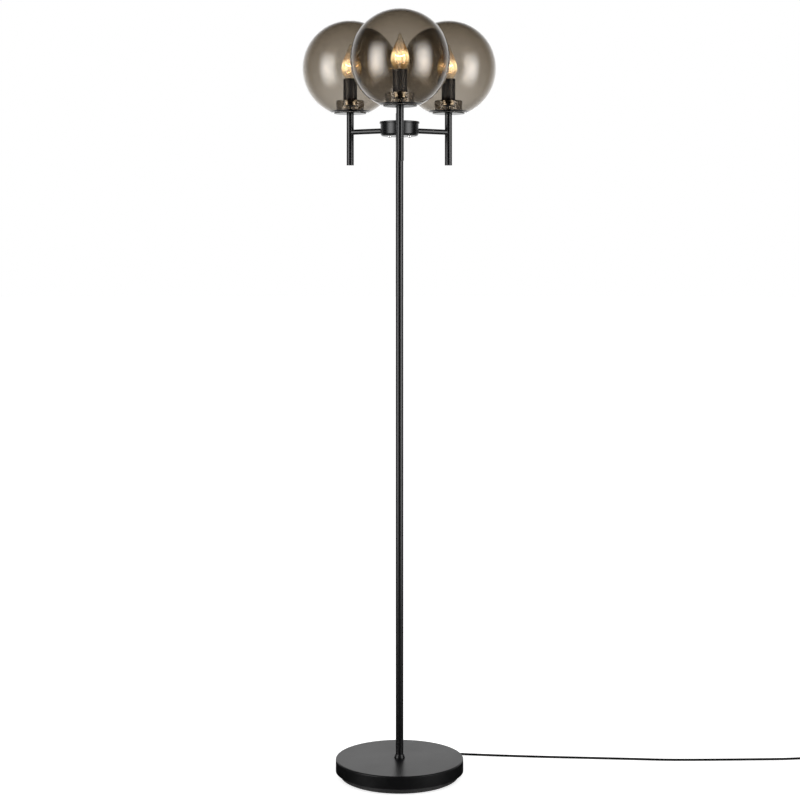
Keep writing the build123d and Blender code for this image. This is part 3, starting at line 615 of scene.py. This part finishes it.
def grown(name, seed_mesh, tree, **values):
    """Plain mesh from a Geometry Nodes tree, with its inputs set by name."""
    holder = bpy.data.objects.new(name, seed_mesh)
    bpy.context.scene.collection.objects.link(holder)
    modifier = holder.modifiers.new("build", "NODES")
    modifier.node_group = tree
    for item in tree.interface.items_tree:
        key = item.name.replace(" ", "_").lower()
        if item.in_out == "INPUT" and key in values:
            modifier[item.identifier] = values[key]
    depsgraph = bpy.context.evaluated_depsgraph_get()
    mesh = bpy.data.meshes.new_from_object(holder.evaluated_get(depsgraph))
    bpy.data.objects.remove(holder)
    return mesh


# ---------------------------------------------------------------- what a user may change
def length(label, default, note, low=0.0, high=100.0):
    return FloatProperty(
        name=label, description=note, default=default, min=low, max=high, unit="LENGTH", precision=5
    )


def colour(label, default, note):
    return FloatVectorProperty(
        name=label, description=note, default=default, subtype="COLOR", size=3, min=0, max=1
    )


def number(label, default, note, low=0.0, high=1000.0):
    return FloatProperty(name=label, description=note, default=default, min=low, max=high)


class SteelSettings(bpy.types.PropertyGroup):
    coat: colour("Coat colour", (0.004, 0.004, 0.0043), "Colour of the satin black powder coat")
    roughness: number("Coat roughness", 0.25, "How dull the powder coat is", 0.05, 1)
    nickel: colour("Nickel", (0.84, 0.83, 0.8), "Colour of the bright collars and screws")
    slot_width: length("Slot width", 0.0011, "Width of the cross slots in the hub's screws")


class GlassSettings(bpy.types.PropertyGroup):
    tint: colour("Smoke tint", (0.567, 0.528, 0.475), "Colour that one wall of a globe lets through")
    wall: length("Wall", 0.0021, "Thickness of the blown glass at a globe's waist")
    crown: length("Crown", 0.00075, "How much thicker the blown glass is at the crown than at the waist")
    neck_wall: length("Neck wall", 0.0024, "Thickness of the glass at the neck")
    neck_width: length("Neck width", 0.054, "Outside width of the neck at the mouth")
    neck_top_width: length("Neck top width", 0.057, "Outside width at the neck's free edge")
    neck_height: length("Neck height", 0.024, "Height of the neck inside the globe")
    mouth_rounding: length("Mouth rounding", 0.004, "Rounding where the globe turns in at its mouth")


class BulbSettings(bpy.types.PropertyGroup):
    # Painted glow on the bulb's glass: this colour and the halo strength below are emission that stands in for
    # the filament's light there.
    glow: colour("Glow", (1.0, 0.5, 0.16), "Warm light on the bulb's glass")
    filament: colour("Filament", (1.0, 0.62, 0.27), "Colour of the glowing filament")
    brightness: number("Brightness", 220.0, "Strength of the filament's light")
    # strength of the painted glow on the bulb's glass
    painted_halo: number("Halo", 0.8, "Strength of the warm light on the bulb's glass")
    turns: number("Filament turns", 26.0, "Turns of the filament's helix")
    span: length("Filament span", 0.018, "Distance between the filament's two ends")
    sag: length("Filament sag", 0.0025, "How far the filament hangs at its middle")


class LeadSettings(bpy.types.PropertyGroup):
    sheath: colour("Sheath", (0.006, 0.006, 0.006), "Colour of the mains lead")
    diameter: length("Diameter", 0.0044, "Diameter of the mains lead")
    real_length: length("Length", 1.903, "Length of the lead from the foot to its plug")
    coil_width: length("Coil radius", 0.0315, "Radius of the coil's first half turn")
    coil_pitch: length("Coil pitch", 0.00495, "Distance between neighbouring turns and layers")
    relief_start: length("Relief start", 0.107, "Distance from the pole's axis to the start of the relief")
    half_turns: IntProperty(name="Half turns", description="Half turns in each layer", default=6, min=2, max=12)
    turn_points: IntProperty(name="Points", description="Points in each half turn", default=7, min=6, max=12)


class StageSettings(bpy.types.PropertyGroup):
    floor: colour("Floor", (0.8, 0.8, 0.8), "Colour of the floor")
    lift: number("Floor lift", 0.66, "How far the floor is lifted towards white where it is seen")
    sky: number("Sky", 0.55, "Strength of the even light from all round")
    backdrop: number("Backdrop", 1.25, "How bright the backdrop behind the lamp looks in gloss")
    room: number("Room", 0.05, "How bright the rest of the room looks in gloss")
    ground: number("Ground", 0.2, "How bright the floor round the lamp looks in gloss")
    head: length("Head height", 1.4, "Height of the globes, from which gloss is worked out")
    softbox: number("Softboxes", 22.0, "Power of each of the two tall softboxes")
    bearing: number("Softbox bearing", 56.0, "Degrees of each softbox from the line to the camera", 0, 90)
    shine: number("Softbox shine", 10.0, "How bright each softbox looks in gloss")
    softbox_width: number("Softbox width", 0.45, "How broad each softbox looks in gloss", 0.01, 1)
    softbox_height: number("Softbox height", 0.65, "How tall each softbox looks in gloss", 0.01, 2)
    lens: number("Focal length", 76.852, "Focal length of the camera, in millimetres", 10, 300)


SETTINGS = {
    "lamp_steel": SteelSettings,
    "lamp_glass": GlassSettings,
    "lamp_bulb": BulbSettings,
    "lamp_lead": LeadSettings,
    "lamp_stage": StageSettings,
}


# ---------------------------------------------------------------- stage and camera
class LAMP_OT_stage(bpy.types.Operator):
    """Pale floor, even light, two tall softboxes and the camera at the photograph's angle"""

    bl_idname = "lamp.stage"
    bl_label = "Studio and camera"

    CAMERA_AT = (-0.0253, -3.3484, 1.0183)
    CAMERA_TURN = -0.448  # degrees about Z
    CAMERA_SHIFT = -0.1793
    SOFTBOX_SIZE = (1.0, 2.6)
    SOFTBOX_REACH, SOFTBOX_HEIGHT = 1.9, 1.75

    def execute(self, context):
        scene, wants = context.scene, context.scene.lamp_stage
        scene.view_settings.view_transform = "Standard"
        self.floor(wants)
        self.sky(scene, wants)
        for side in (-1, 1):
            self.softbox(side, wants)
        lens = bpy.data.cameras.new("camera")
        lens.sensor_width = 36
        lens.lens = wants.lens
        lens.shift_y = self.CAMERA_SHIFT
        lens.clip_end = 200
        camera = bpy.data.objects.new("camera", lens)
        camera.location = self.CAMERA_AT
        camera.rotation_euler = (pi / 2, 0, radians(self.CAMERA_TURN))
        scene.collection.objects.link(camera)
        scene.camera = camera
        return {"FINISHED"}

    def floor(self, wants):
        """Pale floor that reads white where nothing shades it; in gloss it emits the painted studio, carrying it
        on downwards, with a painted shadow round the foot.
        """
        f = Finish("pale_floor", None)
        seen, mirror = self.rays(f)
        speck = f.noise(3, 2)
        pale = f.blend(speck, [c * 0.985 for c in wants.floor], wants.floor)
        shade = f.raw("ShaderNodeBsdfDiffuse", {}, {"Color": f.blend(mirror, pale, (0, 0, 0))})
        from_head = f.node("ShaderNodeVectorMath", {"operation": "SUBTRACT"}, [f.place, (0, 0, wants.head)])
        way = f.node("ShaderNodeVectorMath", {"operation": "NORMALIZE"}, [from_head])
        x, y = f.place.parts()[:2]
        # Painted shadow and painted studio: gloss sees the floor's emission, the studio of look() times a mask
        # that is dark within 0.2 m of the pole's axis and fades in by about 0.49 m.
        clear = ((x * x + y * y - 0.04) * 5).clipped()
        look = self.look(way, wants) * clear
        lift = f.raw("ShaderNodeEmission", {}, {"Strength": seen * wants.lift + mirror * look})
        both = f.raw("ShaderNodeAddShader", {}, {0: Value(f, shade.outputs[0]), 1: Value(f, lift.outputs[0])})
        f.raw("ShaderNodeOutputMaterial", {}, {"Surface": Value(f, both.outputs[0])})
        mesh = turned("floor", [(0, 0), (40, 0), (40, -0.02), (0, -0.02)], segments=64)
        mesh.materials.append(f.material)
        ground = bpy.data.objects.new("floor", mesh)
        bpy.context.scene.collection.objects.link(ground)

    @staticmethod
    def rays(tree):
        """1 for rays that see the background, straight or through glass, and 1 for rays that mirror it."""
        paths = tree.raw("ShaderNodeLightPath", {}, [])
        camera, gloss, through, bounced, spread = [
            Value(tree, paths.outputs[name])
            for name in ("Is Camera Ray", "Is Glossy Ray", "Is Transmission Ray", "Glossy Depth", "Diffuse Depth")
        ]
        bounced, straight = bounced.clipped(), 1 - spread.clipped()
        seen = (camera + through).clipped() * (1 - bounced) * straight
        return seen, (gloss + through).clipped() * bounced * straight

    @staticmethod
    def look(way, wants):
        """What gloss shows that way: a dim room, two tall softboxes, a white backdrop and the pale floor."""
        x, y, z = way.parts()
        bearing = radians(wants.bearing)
        across = (x.size() * cos(bearing) + y * sin(bearing)) / wants.softbox_width
        facing = ((x.size() * sin(bearing) - y * cos(bearing)) * 3).clipped()
        softboxes = (across.hump() * ((z + 0.06) / wants.softbox_height).hump()) ** 1.5 * facing
        behind = ((y - 0.45) * 2.5).clipped() * (z * 1.4).hump()
        ground = ((z + 0.3) * -1.8).clipped()
        return wants.room + behind * wants.backdrop + softboxes * wants.shine + ground * wants.ground

    def sky(self, scene, wants):
        """White to the eye and through glass, and a studio in gloss."""
        world = bpy.data.worlds.new("studio")
        world.use_nodes = True
        scene.world = world
        tree = Tree(world.node_tree)
        seen, mirror = self.rays(tree)
        look = self.look(tree.node("ShaderNodeTexCoord", {}, [], "Generated"), wants)
        strength = (1 - seen - mirror) * wants.sky + seen + mirror * look
        light = tree.raw("ShaderNodeBackground", {}, {"Color": (1, 1, 1, 1), "Strength": strength})
        tree.raw("ShaderNodeOutputWorld", {}, {"Surface": Value(tree, light.outputs[0])})

    def softbox(self, side, wants):
        """The light of a tall softbox. What gloss shows of it is in the sky."""
        bearing = radians(-90 + side * wants.bearing)
        panel = bpy.data.lights.new("softbox", "AREA")
        panel.shape = "RECTANGLE"
        panel.size, panel.size_y = self.SOFTBOX_SIZE
        panel.energy = wants.softbox
        lamp = bpy.data.objects.new("softbox", panel)
        reach = self.SOFTBOX_REACH
        lamp.location = (reach * cos(bearing), reach * sin(bearing), self.SOFTBOX_HEIGHT)
        lamp.rotation_euler = (Vector((0, 0, wants.head)) - lamp.location).to_track_quat("-Z", "Y").to_euler()
        lamp.visible_camera = False
        lamp.visible_glossy = False
        bpy.context.scene.collection.objects.link(lamp)


# ---------------------------------------------------------------- steelwork
class LAMP_OT_steelwork(bpy.types.Operator):
    """Foot, pole, hub and arms in satin black, with the fixings that hold them"""

    bl_idname = "lamp.steelwork"
    bl_label = "Foot, pole, hub and arms"

    COATED = ["pole_lower", "pole_middle", "pole_upper", "pole_ferrule", "pole_finial"]
    COATED += ["hub_body", "hub_lid", "upright_plugs"]

    def execute(self, context):
        wants = context.scene.lamp_steel
        coat = powder_coat("satin_black_tube", wants.coat, wants.roughness)
        dress(powder_coat("satin_black_foot", wants.coat, wants.roughness + 0.1), "base_cover")
        dress(coat, *self.COATED, *[f"{part}_{head}" for part in ("arm", "upright", "saucer") for head in HEADS])
        dress(casting(), "base_weight")
        dress(foam(), "base_pad")
        dress(zinc(), "base_nut", "foot_stud", "pole_couplers", "hub_stud", "lamp_stems")
        dress(moulded("terminal_plastic", "terminal_white", (0.74, 0.73, 0.69), 0.5), "terminal_block")
        dress(lead_sheath("wire_sheath", "wire_sheath", (0.4, 0.4, 0.4)), "head_wires")
        dress(lead_sheath("inner_lead_sheath", "cord_black", (0.012, 0.012, 0.012)), "supply_wire")
        self.screws(wants)
        return {"FINISHED"}

    def screws(self, wants):
        """Two pan-head screws with cross slots, under the hub."""
        bright = nickel(wants.nickel)
        low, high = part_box("hub_screws")
        head_r = (high.y - low.y) / 2
        reach = high.x - head_r
        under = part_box("hub_body")[0].z
        outline = rounded(
            (0, low.z),
            (head_r * 0.98, low.z, head_r * 0.55),
            (head_r, under - 0.0003, 0.0002),
            (head_r, under),
            (0.002, under),
            (0.002, high.z, 0.0004),
            (0, high.z),
        )
        screw = turned("screw", outline, 48, (reach, 0))
        slots = []
        for turn in (0.6, 0.6 + pi / 2):
            slots.append(bar("slot", (wants.slot_width, 0.0044, 0.0026), (reach, 0, low.z), turn))
        screw = carved(screw, joined("slots", *slots))
        tree = ring_tree("screw_ring", bright)
        pair = grown("screws", screw, tree, count=2, start_angle=0.0)
        piece("hub_screws_bright", pair, bright, "frame", "hub_screws", smooth=30)


# ---------------------------------------------------------------- lampholders
class LAMP_OT_lampholders(bpy.types.Operator):
    """Seat rings, bright collars and candle lampholders with gripping ribs"""

    bl_idname = "lamp.lampholders"
    bl_label = "Collars and lampholders"

    def execute(self, context):
        bright = nickel(context.scene.lamp_steel.nickel)
        black = moulded("holder_plastic", "holder_black", (0.014, 0.008, 0.005), 0.5)
        contact = brass()
        dress(silicone(), "seat_rings")
        dress(contact, "holder_contacts")
        dress(black, *[f"holder_shell_{head}" for head in HEADS])
        ribs = ring_tree("grip_ribs", black)
        for head in HEADS:
            self.collar(head, bright)
            self.grip(head, black, ribs)
        return {"FINISHED"}

    def collar(self, head, bright):
        """A turned cup with a rolled lip and a fine waist line."""
        low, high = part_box(f"collar_{head}")
        wide = (high.x - low.x) / 2
        tall = high.z - low.z
        outline = rounded(
            (0.00505, low.z),
            (wide * 0.86, low.z, 0.0012),
            (wide * 0.94, low.z + tall * 0.16, 0.001),
            (wide * 0.94, high.z - tall * 0.24, 0.0008),
            (wide, high.z - tall * 0.16, 0.0006),
            (wide, high.z, 0.0009),
            (wide - 0.002, high.z, 0.0004),
            (wide - 0.0024, high.z - 0.0012, 0.0004),
            (0.00505, high.z - 0.0012),
        )
        made = turned(f"collar_{head}", outline, 96, axis_of(f"collar_{head}"))
        piece(f"collar_{head}_bright", made, bright, "frame", f"collar_{head}")

    def grip(self, head, black, ribs):
        """The lampholder's lower cap, ribbed for the fingers."""
        low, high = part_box(f"holder_cap_{head}")
        wide, inner = (high.x - low.x) / 2, (high.x - low.x) / 2 - 0.0016
        outline = rounded(
            (0.00505, low.z),
            (wide - 0.0004, low.z, 0.001),
            (wide - 0.0004, high.z - 0.0008, 0.0002),
            (wide, high.z - 0.0008, 0.0002),
            (wide, high.z),
            (inner, high.z),
            (inner, low.z + 0.0025),
            (0.00505, low.z + 0.0025),
        )
        body = turned("cap", outline, 96, axis_of(f"holder_cap_{head}"))
        rib = bar("rib", (0.0008, 0.0009, 0.0088), (wide - 0.00045, 0, low.z + 0.0062), 0, 0.0003)
        centre = (*axis_of(f"holder_cap_{head}"), 0)
        ring = grown("ribs", rib, ribs, count=44, start_angle=0.0, centre=centre)
        made = joined(f"holder_cap_{head}", body, ring)
        piece(f"holder_cap_{head}_ribbed", made, black, "frame", f"holder_cap_{head}")


# ---------------------------------------------------------------- bulbs
class LAMP_OT_bulbs(bpy.types.Operator):
    """Lit candle bulbs: clear glass, screw cap, and a glowing filament on its glass stem"""

    bl_idname = "lamp.bulbs"
    bl_label = "Candle bulbs"

    def execute(self, context):
        wants = context.scene.lamp_bulb
        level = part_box("bulb_glass_front")[1].z - FILAMENT_DROP
        finishes = {
            # the bulb glass carries a painted glow
            "glass": bulb_glass(wants.glow, wants.painted_halo, level),
            "cap": cap_metal(),
            "filament": filament_glow(wants.filament, wants.brightness),
            "stem": stem_glass(),
        }
        spring = spring_tree("filament_spring", finishes["filament"])
        for head in HEADS:
            self.glass(head, finishes["glass"])
            self.cap(head, finishes["cap"])
            self.works(head, finishes, spring, wants)
        return {"FINISHED"}

    def glass(self, head, clear):
        low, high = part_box(f"bulb_glass_{head}")
        widest = (high.x - low.x) / 2
        neck, shoulder, belly = 0.0062, low.z + 0.005, low.z + 0.03
        outline = [(neck, low.z)]
        for inset, backward in ((0, False), (0.0007, True)):
            side = [(neck - inset, shoulder)]
            side += hermite(side[-1], (widest - inset, belly), (0.012, 0.024), (0, 0.034), 22)
            tip = (0.0025 - inset / 2, high.z - inset - 0.0019)
            side += hermite(side[-1], tip, (0, 0.05), (-0.017, 0.058), 40)
            side += arc(0, high.z - inset - 0.0026, 0.0026 - inset / 2, 16, 90, 8)[1:]
            side[-1] = (0, side[-1][1])
            outline += reversed(side) if backward else side
        outline.append((neck - 0.0007, low.z))
        made = turned(f"bulb_glass_{head}", outline, 96, axis_of(f"bulb_glass_{head}"))
        piece(f"bulb_glass_{head}_clear", made, clear, f"bulb_{head}", f"bulb_glass_{head}", smooth=60)

    def cap(self, head, metal):
        """Screw cap: rolled thread, the insulator's step and the tip contact, all in the one plated finish."""
        low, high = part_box(f"bulb_cap_{head}")
        wide = (high.x - low.x) / 2
        top, foot = high.z, low.z + 0.004
        threads = 60
        outline = [(0, low.z), (0.0022, low.z), (0.003, low.z + 0.0008), (0.004, low.z + 0.001)]
        outline += [(0.0062, foot)]
        start, end = foot + 0.0005, top - 0.005
        for step in range(threads + 1):
            outline.append((wide - 0.0004, start + (end - start) * step / threads))
        outline += [(wide - 0.0001, top - 0.0044), (wide - 0.0001, top - 0.0006), (wide - 0.0006, top)]
        outline += [(0.00625, top), (0.00625, top - 0.005), (0, top - 0.005)]

        def thread(angle, height):
            inside = min(1, max(0, (height - start) / 0.001)) * min(1, max(0, (end - height) / 0.001))
            return 0.00038 * inside * sin(2 * pi * height / 0.0028 - angle) if inside else 0

        made = turned(f"bulb_cap_{head}", outline, 72, axis_of(f"bulb_cap_{head}"), thread)
        piece(f"bulb_cap_{head}_threaded", made, metal, f"bulb_{head}", f"bulb_cap_{head}", smooth=50)

    def works(self, head, finishes, spring, wants):
        """Flared glass stem with its pinch, lead wires, supports, and the filament's fine helix."""
        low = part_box(f"bulb_filament_{head}")[0]
        x, y = axis_of(f"bulb_glass_{head}")
        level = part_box(f"bulb_glass_{head}")[1].z - FILAMENT_DROP
        pinch = low.z + 0.022
        outline = rounded(
            (0, low.z),
            (0.0025, low.z),
            (0.0024, low.z + 0.006, 0.004),
            (0.0017, low.z + 0.015, 0.004),
            (0.0021, pinch - 0.002, 0.001),
            (0.0018, pinch, 0.0008),
            (0, pinch),
        )
        stem = turned("stem", outline, 32, (x, y))
        piece(f"bulb_stem_{head}", stem, finishes["stem"], f"bulb_{head}", smooth=60)
        half = wants.span / 2
        wires = []
        for side in (-1, 1):
            spots = [(x + side * 0.001, y, pinch - 0.004), (x + side * 0.0012, y, pinch + 0.002)]
            end = (x + side * half, y, level)
            spots += hermite(spots[-1], end, (side * 0.002, 0, 0.014), (side * 0.012, 0, 0.012), 8)
            wires.append(swept("wire", spots, 0.00022, 8))
        for reach in (-0.4, 0.4):
            sag = wants.sag * (1 - reach * reach)
            end = (x + reach * half, y, level - sag)
            spots = [(x + reach * 0.002, y, pinch - 0.001)]
            spots += hermite(spots[-1], end, (0, 0, 0.01), (0, 0.0008, 0.012), 6)
            wires.append(swept("hook", spots, 0.0001, 6))
        made = joined(f"bulb_wires_{head}", *wires)
        piece(f"bulb_wires_{head}", made, finishes["cap"], f"bulb_{head}", smooth=60)
        seed = bpy.data.meshes.new("seed")
        helix = grown(
            "filament",
            seed,
            spring,
            turns=wants.turns,
            span=wants.span,
            radius=0.00055,
            wire=0.0002,
            sag=wants.sag,
            centre=(x, y, level),
        )
        glowing = finishes["filament"]
        piece(f"bulb_filament_{head}_glow", helix, glowing, f"bulb_{head}", f"bulb_filament_{head}", smooth=80)


# ---------------------------------------------------------------- globes
class LAMP_OT_globes(bpy.types.Operator):
    """Blown globes of smoked glass, each with a neck turned in round its mouth"""

    bl_idname = "lamp.globes"
    bl_label = "Smoked glass globes"

    def execute(self, context):
        wants = context.scene.lamp_glass
        smoke = smoked_glass(wants.tint, wants.wall)
        for head in HEADS:
            node = f"globe_{head}"
            low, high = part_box(node)
            radius = (high.x - low.x) / 2
            centre = high.z - radius
            inner = radius - wants.wall
            inner_centre = centre - wants.crown
            depth = centre - low.z
            mouth = sqrt(radius**2 - depth**2)
            neck, neck_top = wants.neck_width / 2, wants.neck_top_width / 2
            top = low.z + wants.neck_height
            lean = (neck_top - neck) / wants.neck_height
            inside_mouth = sqrt(inner**2 - (inner_centre - low.z - wants.wall) ** 2)
            # down the outside, in under the flat mouth, up the neck, over its edge, down again, and up inside
            lower = rounded(
                (mouth * 1.12, centre - sqrt(radius**2 - (mouth * 1.12) ** 2)),
                (mouth, low.z, wants.mouth_rounding),
                (neck - wants.neck_wall, low.z, 0.0008),
                (neck_top - wants.neck_wall, top, 0.0013),
                (neck_top, top, 0.0013),
                (neck + lean * wants.wall, low.z + wants.wall, 0.0015),
                (inside_mouth * 1.06, inner_centre - sqrt(inner**2 - (inside_mouth * 1.06) ** 2)),
            )
            out_end = degrees(atan2(lower[0][1] - centre, lower[0][0]))
            in_end = degrees(atan2(lower[-1][1] - inner_centre, lower[-1][0]))
            outline = [(0, high.z), *arc(0, centre, radius, 90, out_end, 90)[1:-1], *lower]
            outline += [*arc(0, inner_centre, inner, in_end, 90, 88)[1:-1], (0, inner_centre + inner)]
            made = turned(node, outline, 160, axis_of(node))
            piece(f"{node}_glass", made, smoke, node, node, smooth=60)
        return {"FINISHED"}


# ---------------------------------------------------------------- mains lead
class LAMP_OT_lead(bpy.types.Operator):
    """Mains lead along the floor, with its relief, foot switch, coil and plug"""

    bl_idname = "lamp.lead"
    bl_label = "Mains lead"

    ROUTE = [
        (0.07973, 0.11386, 0.0066),
        (0.08833, 0.12615, 0.0066),
        (0.1036, 0.1368, 0.004),
        (0.1324, 0.1365, 0.0027),
        (0.176, 0.1312, 0.0024),
        (0.232, 0.124, 0.0024),
        (0.291, 0.1178, 0.0024),
        (0.352, 0.1124, 0.0024),
        (0.414, 0.1068, 0.0024),
        (0.476, 0.1014, 0.0024),
        (0.538, 0.0949, 0.0024),
        (0.6, 0.0946, 0.0024),
        (0.661, 0.0955, 0.0024),
        (0.722, 0.0972, 0.0024),
        (0.779, 0.0986, 0.0024),
        (0.826, 0.099, 0.0044),
        (0.862, 0.099, 0.0044),
        (0.924, 0.099, 0.0044),
        (0.9284, 0.099, 0.0044),
        (0.9451, 0.099, 0.0034),
    ]

    def execute(self, context):
        wants = context.scene.lamp_lead
        sheath = lead_sheath("lead_sheath", "cord_black", wants.sheath)
        rubber = moulded("soft_rubber", "cord_black", (0.014, 0.014, 0.014), 0.55)
        first, second = self.ROUTE[:2]
        along_foot = Vector((second[0] - first[0], second[1] - first[1], 0)).normalized()
        long = RELIEF_END - wants.relief_start
        start = Vector(self.ROUTE[0]) - along_foot * long
        relief = ribbed("relief", along(start, along_foot), long, 0.0045, 0.0027, 0.01)
        piece("lead_relief", relief, rubber, "frame", "cord_grommet")
        route = self.ROUTE + self.coil(wants)
        on_lead = [*self.switch(), *self.plug(Vector(route[-1]))]
        curve = bpy.data.curves.new("mains_lead", "CURVE")
        curve.dimensions = "3D"
        curve.bevel_depth = wants.diameter / 2
        curve.bevel_resolution = 5
        curve.resolution_u = 6
        curve.use_fill_caps = True
        spline = curve.splines.new("NURBS")
        spline.points.add(len(route) - 1)
        for point, spot in zip(spline.points, route):
            point.co = (*spot, 1)
        spline.order_u = 3
        spline.use_endpoint_u = True
        spline.use_smooth = True
        curve.materials.append(sheath.material)
        lead = bpy.data.objects.new("mains_lead", curve)
        context.scene.collection.objects.link(lead)
        placed(lead, sheath, "frame", "cord_lead", "cord_coil")
        return {"FINISHED"}

    def switch(self):
        """Foot switch: moulded case with a parting line, and a round button with grip rings."""
        case = moulded("switch_plastic", "switch_black", (0.015, 0.015, 0.016), 0.42)
        dress(case, "switch_base", "switch_cover", "switch_button")
        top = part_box("switch_button")[1].z
        rings = []
        for reach in (0.0032, 0.0052, 0.0072):
            outline = [(reach - 0.0004, top - 0.0002), (reach + 0.0004, top - 0.0002)]
            outline += arc(reach, top, 0.0004, 0, 180, 6)
            rings.append(turned("ring", outline, 64, axis_of("switch_button")))
        grip = piece("switch_grip_rings", joined("grip", *rings), case, "switch_button")
        return [grip, *(nodes[name] for name in ("switch_base", "switch_cover", "switch_button"))]

    def plug(self, tip):
        """Flat two-pin plug: soft shoulders, finger grooves, a ribbed tail, and pins with black sleeves."""
        black = moulded("plug_plastic", "plug_black", (0.015, 0.015, 0.016), 0.45)
        low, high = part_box("plug_body")
        middle = Vector((0, tip.y, tip.z))
        tail_x = tip.x - 0.028
        wide, tall = (high.y - low.y) / 2, (high.z - low.z) / 2
        body = []
        for x, across, up in (
            (low.x, 0.88, 0.82),
            (low.x + 0.0006, 0.94, 0.91),
            (low.x + 0.0018, 0.985, 0.98),
            (low.x + 0.003, 1.0, 1.0),
            (tail_x - 0.0175, 1.0, 1.0),
            (tail_x - 0.0145, 0.98, 0.995),
            (tail_x - 0.011, 0.88, 0.98),
            (tail_x - 0.006, 0.68, 0.94),
            (tail_x - 0.0022, 0.5, 0.88),
            (tail_x - 0.0006, 0.42, 0.78),
            (tail_x + 0.0004, 0.33, 0.6),
        ):
            ring = []
            for n in range(64):
                a = 2 * pi * n / 64
                y = abs(cos(a)) ** 0.45 * (1 if cos(a) > 0 else -1)
                z = abs(sin(a)) ** 0.45 * (1 if sin(a) > 0 else -1)
                ring.append((x, middle.y + y * across * wide, middle.z + z * up * tall))
            body.append(ring)
        block = lofted("block", body)
        grooves = []
        for side in (-1, 1):
            for n in range(3):
                at = (low.x + 0.013 + n * 0.0032, middle.y + side * (wide + 0.0002), middle.z)
                grooves.append(bar("groove", (0.0012, 0.0016, tall * 1.5), at))
        block = carved(block, joined("grooves", *grooves))
        root = along((tail_x - 0.002, middle.y, middle.z), (1, 0, 0))
        tail = ribbed("tail", root, 0.03, 0.0038, 0.0026, 0.005, 7)
        made = piece("plug_body_moulded", joined("plug", block, tail), black, "frame", "plug_body", smooth=40)
        low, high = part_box("plug_pins")
        metal, sleeves, pins = brass(), [], []
        for side in (-1, 1):
            place = along((high.x, middle.y + side * 0.0095, middle.z), (-1, 0, 0))
            long = high.x - low.x
            pin = rounded((0, 0), (0.002, 0), (0.002, long, 0.0012), (0, long))
            pins.append(turned("pin", pin, 40, place))
            sleeve = rounded((0.0018, 0.0035), (0.00202, 0.0035), (0.00202, 0.0135, 0.0001), (0.0018, 0.0135))
            sleeves.append(turned("sleeve", sleeve, 40, place))
        bare = piece("plug_pins_bare", joined("pins", *pins), metal, "frame", "plug_pins")
        sleeved = piece("plug_pin_sleeves", joined("sleeves", *sleeves), black, "frame")
        return [made, bare, sleeved]

    @staticmethod
    def coil(wants):
        """Half turns that close in on the floor, one that climbs a layer, and half turns that open out on top."""
        start_y, middle_x = 0.099, 0.9618
        floor_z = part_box("cord_coil")[0].z + wants.diameter / 2
        half, steps = wants.coil_pitch / 2, wants.turn_points
        lower = [wants.coil_width - n * half for n in range(wants.half_turns)]
        climb = lower[-1] - half
        upper = [climb + (n + 1) * half for n in range(wants.half_turns)]
        spots, side, y, z = [], 1, start_y, floor_z
        for radius in [*lower, climb, *upper]:
            rise = wants.coil_pitch if radius == climb else 0
            for step in range(steps):
                share = (step + 0.5) / steps
                angle = side * (pi / 2 - pi * share) if side > 0 else pi / 2 + pi * (1 - share)
                out = radius / cos(pi / steps / 2)
                centre_y = y - side * radius
                spots.append((middle_x + out * cos(angle), centre_y + out * sin(angle), z + rise * share))
            y -= side * 2 * radius
            z += rise
            side = -side
        return [*spots, (middle_x, y, z), (middle_x - wants.diameter, y, z)]


OPERATORS = [LAMP_OT_stage, LAMP_OT_lead, LAMP_OT_steelwork, LAMP_OT_lampholders, LAMP_OT_bulbs, LAMP_OT_globes]


class LAMP_PT_panel(bpy.types.Panel):
    """Lists the lamp's pieces and their settings"""

    bl_idname = "LAMP_PT_panel"
    bl_label = "Floor lamp"
    bl_space_type = "VIEW_3D"
    bl_region_type = "UI"
    bl_category = "Floor lamp"

    def draw(self, context):
        for kind in OPERATORS:
            self.layout.operator(kind.bl_idname)
        for name, kind in SETTINGS.items():
            box = self.layout.box()
            for label in kind.__annotations__:
                box.prop(getattr(context.scene, name), label)


def register():
    for kind in [*SETTINGS.values(), *OPERATORS, LAMP_PT_panel]:
        bpy.utils.register_class(kind)
    for name, kind in SETTINGS.items():
        setattr(bpy.types.Scene, name, PointerProperty(type=kind))


def unregister():
    for name in SETTINGS:
        delattr(bpy.types.Scene, name)
    for kind in reversed([*SETTINGS.values(), *OPERATORS, LAMP_PT_panel]):
        bpy.utils.unregister_class(kind)


def main():
    register()
    for kind in OPERATORS:
        group, name = kind.bl_idname.split(".")
        getattr(getattr(bpy.ops, group), name)()


if __name__ == "__main__":
    main()
